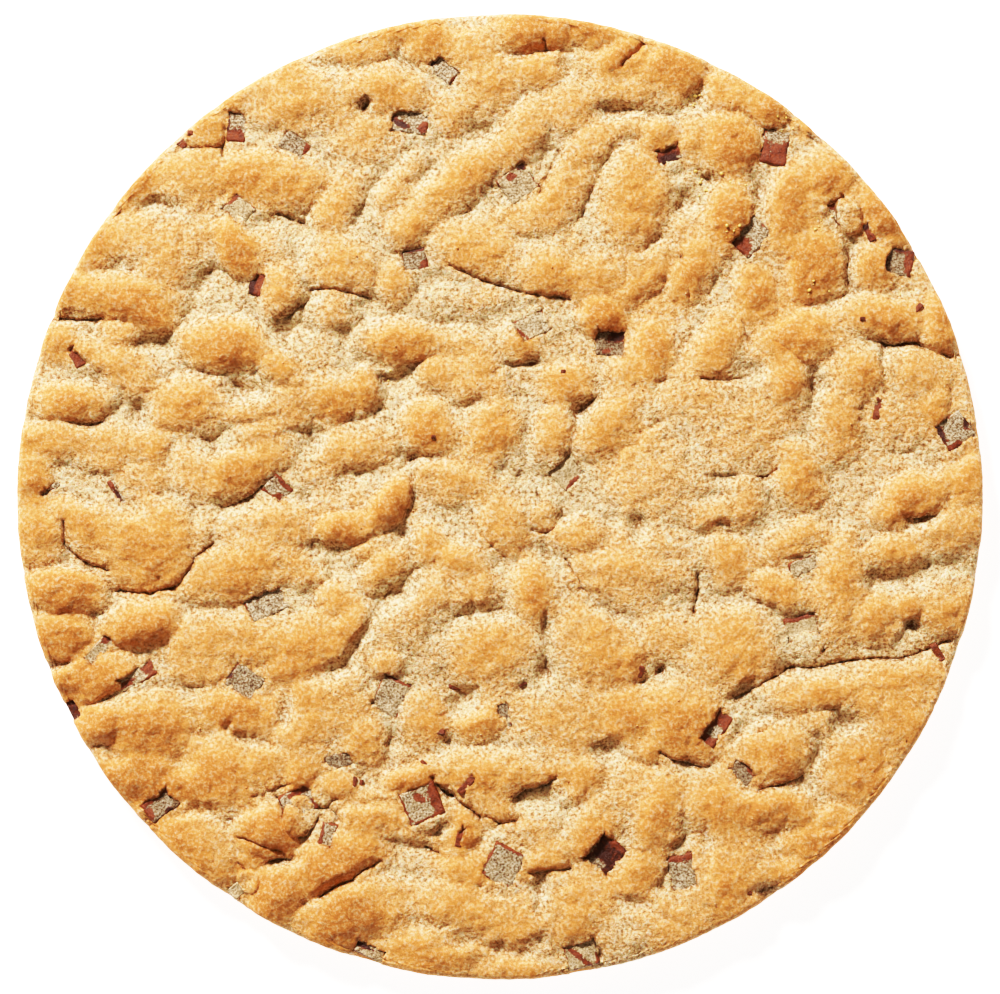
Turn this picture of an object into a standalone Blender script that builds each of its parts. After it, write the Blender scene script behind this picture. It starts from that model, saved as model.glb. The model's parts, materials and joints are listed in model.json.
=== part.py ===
"""A round chocolate-chunk cookie cake, baked in a tin: one slab of lumpy cookie dough, with chunks
of milk chocolate standing in pockets in its top. Metres, +Z up, flat underside on Z = 0."""

import math
import random
from typing import NamedTuple

import bmesh
import bpy
from mathutils import Euler, Matrix, Vector, noise

# Driving sizes
COOKIE_DIAMETER = 0.305
VALLEY_HEIGHT = 0.0108
RIM_ROUNDING = 0.0048
BASE_ROUNDING = 0.0016
TOP_RADIUS = COOKIE_DIAMETER / 2 - RIM_ROUNDING
EDGE_UNEVENNESS = 0.0006
EDGE_WAVES = 6
CHUNK_THICKNESS = 0.0062
CHUNK_EDGE = 0.0007
CHUNK_UNEVENNESS = 0.0005
NARROW_SHARE = 0.14
GAP = 0.0003
POCKET_HEADROOM = 0.012

# Colours, linear
BAKED_DOUGH = (0.62, 0.34, 0.11)
MILK_CHOCOLATE = (0.13, 0.03, 0.012)

# The cookie fills this circle of the photograph, in pixels from its top left
PHOTO_CENTRE_X = 500
PHOTO_CENTRE_Y = 497
PHOTO_DIAMETER = 966
PIXEL = COOKIE_DIAMETER / PHOTO_DIAMETER

# How finely the dough is meshed
RINGS = 23
RIM_STEPS = 3
BASE_STEPS = 2

# Lumps spread past the outline read for them, wander by the warp, and melt together over the blend
LUMP_SPREAD = 1.18
DOME_POWER = 0.6
WARP = 0.0014
WARP_WAVE = 0.012
BLEND = 0.00025
PUCKER = 0.0006
PUCKER_WAVE = 0.015


class Lump(NamedTuple):
    """A lump of dough: middle and half sizes in photo pixels, turn in degrees, rise in millimetres."""

    x: float
    y: float
    half_length: float
    half_width: float
    turn: float
    rise: float


class Chunk(NamedTuple):
    """A chocolate chunk: middle and sizes in photo pixels, turn in degrees.

    Sunk is how far its top lies under the dough around it, in millimetres, and tip and lean
    are its slopes along its length and across it, in degrees.
    """

    x: float
    y: float
    length: float
    width: float
    turn: float
    sunk: float
    tip: float
    lean: float


LUMPS = [
    Lump(198, 178, 42, 30, -5, 3.0), Lump(280, 187, 52, 32, -15, 3.3), Lump(305, 100, 48, 28, 0, 2.6),
    Lump(160, 235, 50, 30, -10, 2.5), Lump(128, 287, 66, 31, 3, 3.3), Lump(282, 291, 29, 20, 80, 3.1),
    Lump(222, 322, 46, 42, 10, 3.3), Lump(342, 268, 37, 30, 10, 3.1), Lump(323, 315, 27, 28, 0, 2.5),
    Lump(345, 205, 48, 18, 62, 2.2), Lump(455, 185, 60, 19, 38, 2.7), Lump(392, 82, 47, 26, -8, 2.9),
    Lump(455, 42, 40, 22, 10, 2.4), Lump(487, 85, 28, 34, 0, 2.2), Lump(532, 32, 36, 19, 0, 3.1),
    Lump(622, 60, 30, 18, 30, 2.5), Lump(666, 67, 29, 24, -10, 2.9), Lump(570, 110, 34, 24, 35, 2.5),
    Lump(524, 132, 40, 20, 52, 2.5), Lump(588, 150, 42, 18, 38, 2.5), Lump(630, 180, 40, 25, 52, 2.7),
    Lump(632, 222, 35, 26, 15, 2.7), Lump(498, 255, 63, 32, -12, 3.3), Lump(600, 275, 47, 22, 14, 3.0),
    Lump(738, 125, 34, 47, -12, 3.3), Lump(720, 210, 36, 20, 78, 2.9), Lump(796, 190, 33, 48, 5, 3.4),
    Lump(806, 262, 42, 50, 0, 3.2), Lump(705, 272, 27, 27, 0, 2.5), Lump(722, 345, 36, 21, 75, 2.9),
    Lump(882, 215, 32, 18, -50, 2.5), Lump(886, 312, 47, 19, -16, 3.1), Lump(800, 345, 57, 33, 14, 3.1),
    Lump(924, 378, 38, 31, 0, 2.7), Lump(838, 417, 22, 40, 0, 2.5), Lump(735, 422, 60, 42, 15, 2.1),
    Lump(898, 479, 50, 24, 20, 3.1), Lump(945, 531, 37, 22, 10, 2.5), Lump(670, 490, 64, 36, 10, 2.4),
    Lump(909, 573, 46, 24, 5, 2.5), Lump(838, 590, 46, 24, 85, 2.9), Lump(878, 628, 33, 28, 0, 2.7),
    Lump(745, 580, 46, 33, 0, 2.3), Lump(732, 650, 46, 39, 10, 2.8), Lump(650, 566, 46, 43, 0, 2.3),
    Lump(608, 432, 42, 24, 50, 2.9), Lump(632, 373, 34, 24, 20, 2.7), Lump(430, 340, 60, 24, -8, 3.0),
    Lump(425, 418, 36, 43, -5, 3.3), Lump(472, 375, 27, 31, 10, 2.5), Lump(492, 436, 28, 35, 0, 2.9),
    Lump(541, 430, 30, 37, 0, 2.9), Lump(503, 519, 30, 32, 0, 2.9), Lump(452, 552, 40, 24, -10, 2.7),
    Lump(415, 615, 62, 24, 42, 2.7), Lump(540, 586, 26, 42, 0, 2.7), Lump(494, 652, 45, 33, 0, 3.1),
    Lump(590, 646, 46, 41, 0, 2.9), Lump(186, 403, 35, 35, 0, 2.9), Lump(60, 402, 42, 22, 5, 2.9),
    Lump(125, 441, 42, 27, 5, 2.4), Lump(236, 459, 64, 31, -5, 3.1), Lump(336, 398, 32, 29, 0, 2.9),
    Lump(350, 462, 50, 26, 35, 2.9), Lump(130, 549, 64, 42, -20, 3.9), Lump(65, 580, 40, 27, -5, 2.7),
    Lump(242, 569, 52, 26, 14, 3.1), Lump(148, 620, 48, 27, -5, 3.1), Lump(236, 640, 62, 24, 3, 2.5),
    Lump(312, 642, 40, 29, 15, 2.8), Lump(362, 522, 44, 28, 25, 2.9), Lump(378, 579, 32, 20, 25, 2.7),
    Lump(336, 700, 36, 44, -10, 2.5), Lump(88, 681, 40, 20, 15, 2.7), Lump(142, 736, 64, 48, -10, 2.9),
    Lump(216, 776, 44, 34, 5, 2.9), Lump(305, 736, 26, 52, 0, 2.4), Lump(266, 822, 29, 28, 0, 3.1),
    Lump(198, 846, 50, 34, -40, 2.7), Lump(276, 891, 32, 36, -20, 3.1), Lump(336, 864, 44, 26, 25, 3.5),
    Lump(382, 906, 86, 40, 15, 3.0), Lump(498, 776, 58, 41, 0, 3.3), Lump(560, 716, 46, 46, 0, 2.3),
    Lump(686, 720, 38, 38, 0, 3.1), Lump(566, 833, 48, 38, 10, 2.8), Lump(690, 806, 50, 41, 0, 3.2),
    Lump(786, 820, 62, 32, 10, 2.7), Lump(786, 746, 58, 38, 35, 3.3), Lump(822, 680, 78, 20, 12, 2.7),
    Lump(853, 766, 35, 35, 0, 2.7), Lump(900, 716, 44, 32, 15, 2.1), Lump(583, 901, 36, 36, 0, 2.7),
    Lump(731, 871, 37, 43, 0, 2.3), Lump(650, 926, 52, 28, 10, 2.5), Lump(500, 922, 52, 30, -5, 2.3),
]

CHUNKS = [
    Chunk(237, 128, 32, 21, 85, 0.9, 4, 0), Chunk(240, 210, 30, 25, -40, 0.2, -4, 3),
    Chunk(258, 285, 26, 16, 75, 0.8, 5, -8), Chunk(296, 146, 32, 22, -35, 0.7, 5, 0),
    Chunk(77, 356, 26, 12, -59, 0.5, 0, 6), Chunk(444, 71, 32, 20, -42, 1.2, -5, 3),
    Chunk(410, 124, 40, 25, -8, 0.9, 2, -5), Chunk(517, 184, 36, 33, 35, 0.3, 4, 4),
    Chunk(415, 260, 28, 23, 10, 0.9, -6, 4), Chunk(532, 327, 36, 26, 25, 0.4, 3, -4),
    Chunk(610, 343, 33, 30, -5, 2.2, 6, 0), Chunk(668, 155, 28, 18, 20, 1.1, 0, 12),
    Chunk(774, 148, 38, 30, 80, 0.9, 6, 0), Chunk(750, 238, 40, 28, 49, 0.9, 5, 0),
    Chunk(842, 214, 34, 22, -60, 0.0, 4, 0), Chunk(868, 233, 20, 8, -65, 0.6, 0, 0),
    Chunk(898, 263, 30, 29, -10, 1.3, 4, -5), Chunk(51, 489, 24, 8, 35, 0.9, 0, 10),
    Chunk(117, 491, 26, 8, -60, 0.5, 0, 0), Chunk(278, 488, 28, 24, -42, 0.5, 4, 6),
    Chunk(267, 604, 43, 28, 24, 0.9, 3, -5), Chunk(100, 649, 36, 14, 48, 0.9, 0, 8),
    Chunk(138, 676, 42, 18, 28, 0.9, 3, -8), Chunk(245, 681, 35, 29, -35, 0.5, 3, 3),
    Chunk(74, 710, 22, 10, -63, 0.9, 0, 0), Chunk(567, 473, 31, 28, 44, 1.0, 5, 4),
    Chunk(391, 695, 40, 33, 65, 0.6, -4, 4), Chunk(877, 409, 24, 9, 80, 0.4, 0, 0),
    Chunk(953, 431, 34, 34, 33, 0.2, 3, 3), Chunk(803, 635, 44, 35, 105, 0.6, -4, 0),
    Chunk(937, 652, 21, 8, -58, 0.7, 0, 0), Chunk(161, 804, 36, 25, 37, 0.6, -3, -5),
    Chunk(299, 801, 36, 30, 28, 0.1, 3, 4), Chunk(328, 834, 26, 18, 75, 0.4, 0, 5),
    Chunk(340, 760, 30, 16, 15, 0.6, 4, 0), Chunk(241, 887, 26, 15, 40, 0.4, 0, 0),
    Chunk(422, 803, 40, 38, 22, -0.3, 3, 3), Chunk(503, 864, 41, 37, 62, 0.0, -4, 3),
    Chunk(605, 853, 37, 34, 50, 1.4, -6, 4), Chunk(461, 834, 25, 8, 75, 0.3, 0, 0),
    Chunk(467, 783, 25, 8, 50, 0.5, 0, 0), Chunk(682, 871, 38, 30, 104, 0.5, -5, 0),
    Chunk(581, 954, 34, 28, 15, 0.4, 0, 4), Chunk(370, 950, 32, 14, -25, 0.7, 0, 0),
    Chunk(715, 728, 40, 22, 54, 0.8, 6, -8), Chunk(742, 771, 28, 20, -45, 0.8, 0, 6),
    Chunk(803, 566, 32, 18, 20, 0.7, 3, 0), Chunk(504, 715, 26, 14, 100, 0.6, 0, 0),
]


def material(name, colour, roughness):
    """A plain material with the given colour."""
    made = bpy.data.materials.new(name)
    made.use_nodes = True
    shader = made.node_tree.nodes["Principled BSDF"]
    shader.inputs["Base Color"].default_value = (*colour, 1)
    shader.inputs["Roughness"].default_value = roughness
    shader.inputs["Metallic"].default_value = 0
    return made


def add_object(name, mesh_data, finish=None):
    """An object of the bmesh, which is used up."""
    mesh = bpy.data.meshes.new(name)
    mesh_data.to_mesh(mesh)
    mesh_data.free()
    if finish:
        mesh.materials.append(finish)
    made = bpy.data.objects.new(name, mesh)
    bpy.context.scene.collection.objects.link(made)
    return made


def at_photo(x, y):
    """The place on the cookie of a pixel of the photograph, which looks straight down."""
    return Vector(((x - PHOTO_CENTRE_X) * PIXEL, (PHOTO_CENTRE_Y - y) * PIXEL, 0))


def wander(point):
    """The point shifted a little, so that no lump keeps a clean oval outline."""
    across = noise.noise(point / WARP_WAVE)
    along = noise.noise(point / WARP_WAVE + Vector((0, 0, 9)))
    return point + WARP * Vector((across, along, 0))


def lump_height(lump, point):
    """How far one lump stands over the valleys at a point: a dome on an oval."""
    away = Matrix.Rotation(math.radians(-lump.turn), 3, "Z") @ (point - at_photo(lump.x, lump.y))
    along = away.x / (lump.half_length * PIXEL * LUMP_SPREAD)
    across = away.y / (lump.half_width * PIXEL * LUMP_SPREAD)
    inside = 1 - along**2 - across**2
    return lump.rise / 1000 * inside**DOME_POWER if inside > 0 else 0


def dough_height(place):
    """Height of the baked top: the valleys, with every lump melted into its neighbours."""
    point = wander(place)
    melted = sum(math.expm1(lump_height(lump, point) / BLEND) for lump in LUMPS)
    pucker = PUCKER * noise.noise(point / PUCKER_WAVE)
    return VALLEY_HEIGHT + BLEND * math.log1p(melted) + pucker


def edge_radius(direction):
    """The outline's radius: the tin's circle, from which the dough has shrunk unevenly."""
    return COOKIE_DIAMETER / 2 - EDGE_UNEVENNESS * abs(noise.noise(direction * EDGE_WAVES))


def hexagon_to_circle(point):
    """Blows a point of a hexagon out to the circle through the hexagon's corners."""
    sector = math.pi / 3
    angle = math.atan2(point.y, point.x)
    off_middle = angle % sector - sector / 2
    radius = point.length * math.cos(off_middle) / math.cos(sector / 2)
    share = 0.5 + math.tan(off_middle) / (2 * math.tan(sector / 2))
    new_angle = (angle // sector + share) * sector
    return Vector((math.cos(new_angle), math.sin(new_angle), 0)) * radius


def side_point(direction, level):
    """A point down the side below the top's border: rounded rim, upright wall, rounded foot."""
    if level < RIM_STEPS:
        bend = math.pi / 2 * (level + 1) / RIM_STEPS
        inset = RIM_ROUNDING * (1 - math.sin(bend))
        height = dough_height(direction * TOP_RADIUS) - RIM_ROUNDING * (1 - math.cos(bend))
    else:
        bend = math.pi / 2 * (level - RIM_STEPS) / BASE_STEPS
        inset = BASE_ROUNDING * (1 - math.cos(bend))
        height = BASE_ROUNDING * (1 - math.sin(bend))
    return direction * (edge_radius(direction) - inset) + Vector((0, 0, height))


def boundary(mesh_data):
    """The edges at the open border."""
    return [edge for edge in mesh_data.edges if edge.is_boundary]


def build_dough(finish):
    """The slab: a lumpy top of even triangles, the side drawn down from its border, a flat base."""
    slab = bmesh.new()
    corner_first = Matrix.Rotation(math.radians(30), 4, "Z")
    bmesh.ops.create_circle(
        slab, cap_ends=True, cap_tris=True, segments=6, radius=TOP_RADIUS, matrix=corner_first
    )
    bmesh.ops.subdivide_edges(slab, edges=slab.edges[:], cuts=RINGS - 1, use_grid_fill=True)
    for vertex in slab.verts:
        vertex.co = hexagon_to_circle(vertex.co)
        vertex.co.z = dough_height(vertex.co)
    for level in range(RIM_STEPS + BASE_STEPS + 1):
        pulled = bmesh.ops.extrude_edge_only(slab, edges=boundary(slab))
        for vertex in [item for item in pulled["geom"] if isinstance(item, bmesh.types.BMVert)]:
            vertex.co = side_point(Vector((vertex.co.x, vertex.co.y, 0)).normalized(), level)
    bmesh.ops.holes_fill(slab, edges=boundary(slab))
    bmesh.ops.recalc_face_normals(slab, faces=slab.faces[:])
    dough = add_object("dough", slab, finish)
    dough.data.shade_smooth()
    return dough


def no_wider_than(size, chunk):
    """The size, or less on a chunk too narrow for it."""
    return min(size, NARROW_SHARE * chunk.width * PIXEL)


def broken_block(chunk, number, grow=0.0):
    """A block of chocolate about its own middle, each corner broken back by its own amount."""
    rough = random.Random(number)
    most_broken = no_wider_than(CHUNK_UNEVENNESS, chunk)
    block = bmesh.new()
    bmesh.ops.create_cube(block, size=1)
    half = Vector((chunk.length * PIXEL, chunk.width * PIXEL, CHUNK_THICKNESS)) / 2
    for vertex in block.verts:
        for axis in range(3):
            reach = half[axis] - rough.uniform(0, most_broken) + grow
            vertex.co[axis] = math.copysign(reach, vertex.co[axis])
    return block


def seat(made, chunk):
    """Sets a block down in the dough, turned and tilted as the chunk is."""
    middle = at_photo(chunk.x, chunk.y)
    top = dough_height(middle) - chunk.sunk / 1000
    over_rim = max(0, middle.length - TOP_RADIUS + RIM_ROUNDING)
    made.location = (middle.x, middle.y, top - over_rim / 2 - CHUNK_THICKNESS / 2)
    tilt = Euler((math.radians(chunk.lean), math.radians(chunk.tip), 0)).to_matrix()
    turned = Matrix.Rotation(math.radians(chunk.turn), 3, "Z") @ tilt
    made.rotation_euler = turned.to_euler()


def build_chunk(number, chunk, finish):
    """One chunk with its edges worn round."""
    block = broken_block(chunk, number)
    worn = no_wider_than(CHUNK_EDGE, chunk)
    bmesh.ops.bevel(
        block, geom=block.edges[:], offset=worn, offset_type="OFFSET", segments=1, affect="EDGES"
    )
    seat(add_object(f"chocolate_chunk_{number:02d}", block, finish), chunk)


def build_pocket(number, chunk, pockets):
    """The hidden cutter of a chunk's pocket: the block with a gap round it, open to the air above."""
    block = broken_block(chunk, number, grow=GAP)
    for vertex in block.verts:
        if vertex.co.z > 0:
            vertex.co.z += POCKET_HEADROOM
    cutter = add_object(f"pocket_{number:02d}", block)
    seat(cutter, chunk)
    cutter.hide_render = True
    cutter.display_type = "WIRE"
    bpy.context.scene.collection.objects.unlink(cutter)
    pockets.objects.link(cutter)


def cut_pockets(dough, pockets):
    """Opens every pocket in the dough."""
    cut = dough.modifiers.new("pockets", "BOOLEAN")
    cut.operation = "DIFFERENCE"
    cut.operand_type = "COLLECTION"
    cut.collection = pockets
    cut.solver = "EXACT"


def main():
    """Builds the dough, then each chunk in its pocket."""
    for stale in list(bpy.data.objects):
        bpy.data.objects.remove(stale)
    baked_dough = material("baked_dough", BAKED_DOUGH, 0.75)
    milk_chocolate = material("milk_chocolate", MILK_CHOCOLATE, 0.45)
    pockets = bpy.data.collections.new("pockets")
    bpy.context.scene.collection.children.link(pockets)
    dough = build_dough(baked_dough)
    for number, chunk in enumerate(CHUNKS, start=1):
        build_chunk(number, chunk, milk_chocolate)
        build_pocket(number, chunk, pockets)
    cut_pockets(dough, pockets)


main()
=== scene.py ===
"""A round chocolate-chunk cookie cake: a slab of lumpy baked dough with chunks of milk chocolate
standing in it, slivers of chocolate, and crumbs. Places in the photograph are in its pixels."""

import enum
import json
import logging
import math
from dataclasses import dataclass, field
from typing import Any, NamedTuple, Sequence

import bpy
import numpy as np
from mathutils import Euler, Matrix, Vector

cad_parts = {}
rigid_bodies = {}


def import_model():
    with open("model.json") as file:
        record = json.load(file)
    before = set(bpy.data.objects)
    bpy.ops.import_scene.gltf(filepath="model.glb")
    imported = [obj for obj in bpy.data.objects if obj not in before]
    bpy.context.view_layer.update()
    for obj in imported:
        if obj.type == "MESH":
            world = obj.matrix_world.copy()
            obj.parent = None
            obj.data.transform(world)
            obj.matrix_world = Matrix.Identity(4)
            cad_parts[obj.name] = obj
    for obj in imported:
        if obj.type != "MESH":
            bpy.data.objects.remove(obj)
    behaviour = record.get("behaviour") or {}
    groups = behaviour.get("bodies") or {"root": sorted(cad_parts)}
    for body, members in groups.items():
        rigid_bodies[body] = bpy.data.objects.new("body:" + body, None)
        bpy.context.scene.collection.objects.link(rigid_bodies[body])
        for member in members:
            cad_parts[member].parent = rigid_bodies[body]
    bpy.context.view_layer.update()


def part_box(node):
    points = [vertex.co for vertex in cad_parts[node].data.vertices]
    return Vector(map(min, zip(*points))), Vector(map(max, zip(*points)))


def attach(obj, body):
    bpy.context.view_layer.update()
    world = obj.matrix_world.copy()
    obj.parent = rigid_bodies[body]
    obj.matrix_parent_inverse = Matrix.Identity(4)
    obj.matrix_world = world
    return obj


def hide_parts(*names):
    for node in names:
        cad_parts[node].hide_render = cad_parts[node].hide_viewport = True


log = logging.getLogger("cookie_cake")

MM = 0.001

# How far the windows of the grid reach past an oval or a crease, and from the middle of a lap or a chunk,
# in pixels
OVAL_MARGIN, CREASE_MARGIN, LAP_REACH, CHUNK_REACH = 12, 16, 40, 62

# What the smooth noise is scaled by, how far from a cell's sides its puff stays, and how far apart the
# seeds of the two places of a puff's middle lie
NOISE_SWING, CELL_MARGIN, SEED_STEP = 1.5, 0.15, 7

# What mixes a cell's number into a scattered one: large primes, and masks for its low bits
COLUMN_PRIME, ROW_PRIME, SEED_PRIME, MIXING_PRIME = 374761393, 668265263, 982451653, 1274126177
LOW_31_BITS, LOW_16_BITS = 0x7FFFFFFF, 0xFFFF

# Where a node that mixes colours takes its two colours and gives the mix
MIX_A, MIX_B, MIXED = 6, 7, 2

# The camera's curve for all colours together
COMBINED_CURVE = 3

# The body that the pieces ride on, and the names of two material slots
BODY = "root"
DOUGH_SLOT = "baked_dough"
CHOCOLATE_SLOT = "milk_chocolate"


class Look(enum.Enum):
    """What shows on a chunk of chocolate at a place."""

    BARE = "bare"
    # Bare chocolate coloured darker: painted shade
    DARK = "dark"
    FILM = "film"


class Lump(NamedTuple):
    """A lump of dough: middle and half sizes in photo pixels, turn in degrees, rise in millimetres."""

    x: float
    y: float
    half_length: float
    half_width: float
    turn: float
    rise: float


class Crease(NamedTuple):
    """A crack or fold: its path in photo pixels, half its width in pixels, its depth in millimetres."""

    path: tuple[tuple[float, float], ...]
    half_width: float
    depth: float


class Chunk(NamedTuple):
    """A chunk: middle and sizes in photo pixels, turn, how far its top lies under the dough around it
    in millimetres, its slopes along and across in degrees, what covers most of it, and how thick its film
    lies: from -1, thin and dusky, to 1, as thick and pale as dough."""

    x: float
    y: float
    length: float
    width: float
    turn: float
    sunk: float
    tip: float
    lean: float
    look: Look
    thick: float = 0.0


class Streak(NamedTuple):
    """A patch on a chunk that looks otherwise: an oval in photo pixels, turn in degrees."""

    x: float
    y: float
    half_length: float
    half_width: float
    turn: float
    look: Look


class ToastAndShade(NamedTuple):
    """A place coloured browner, or paler where the change is negative, with its reach in pixels; on the
    upper and left rim the browner colour is painted shade.
    """

    x: float
    y: float
    reach: float
    change: float


class Sliver(NamedTuple):
    """A sliver of chocolate that shows in the dough: middle and sizes in photo pixels, turn in degrees."""

    x: float
    y: float
    length: float
    width: float
    turn: float


class Swell(NamedTuple):
    """One size of smooth noise: how high it stands, how wide its swells are, and which pattern it is."""

    height: float
    wave: float
    seed: int


class Noise(NamedTuple):
    """A noise texture: the width of its coarsest pattern in millimetres, its detail and its roughness."""

    wave: float
    detail: float
    roughness: float

    def inputs(self) -> dict[str, float]:
        """What a noise texture node is given."""
        return {"Scale": 1 / (self.wave * MM), "Detail": self.detail, "Roughness": self.roughness}


class Share(NamedTuple):
    """A share that goes from least to most while a value goes from start to full."""

    start: float
    full: float
    most: float = 1.0
    least: float = 0.0

    def inputs(self) -> dict[str, float]:
        """What a map range node is given."""
        return {"From Min": self.start, "From Max": self.full, "To Min": self.least, "To Max": self.most}


BARE, DARK, FILM = Look.BARE, Look.DARK, Look.FILM

# How bare chunks are and how much painted shade darkens them where no streak says otherwise, how little
# painted shade a bare streak has, and how far out a streak starts and is full, in its own half sizes
UNDER_FILM, UNCOVERED, SHADED, LIT = 0.1, 0.85, 0.75, 0.2
STREAK_LIT, STREAK_EDGE = 0.15, (1.6, 0.55)
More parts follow.
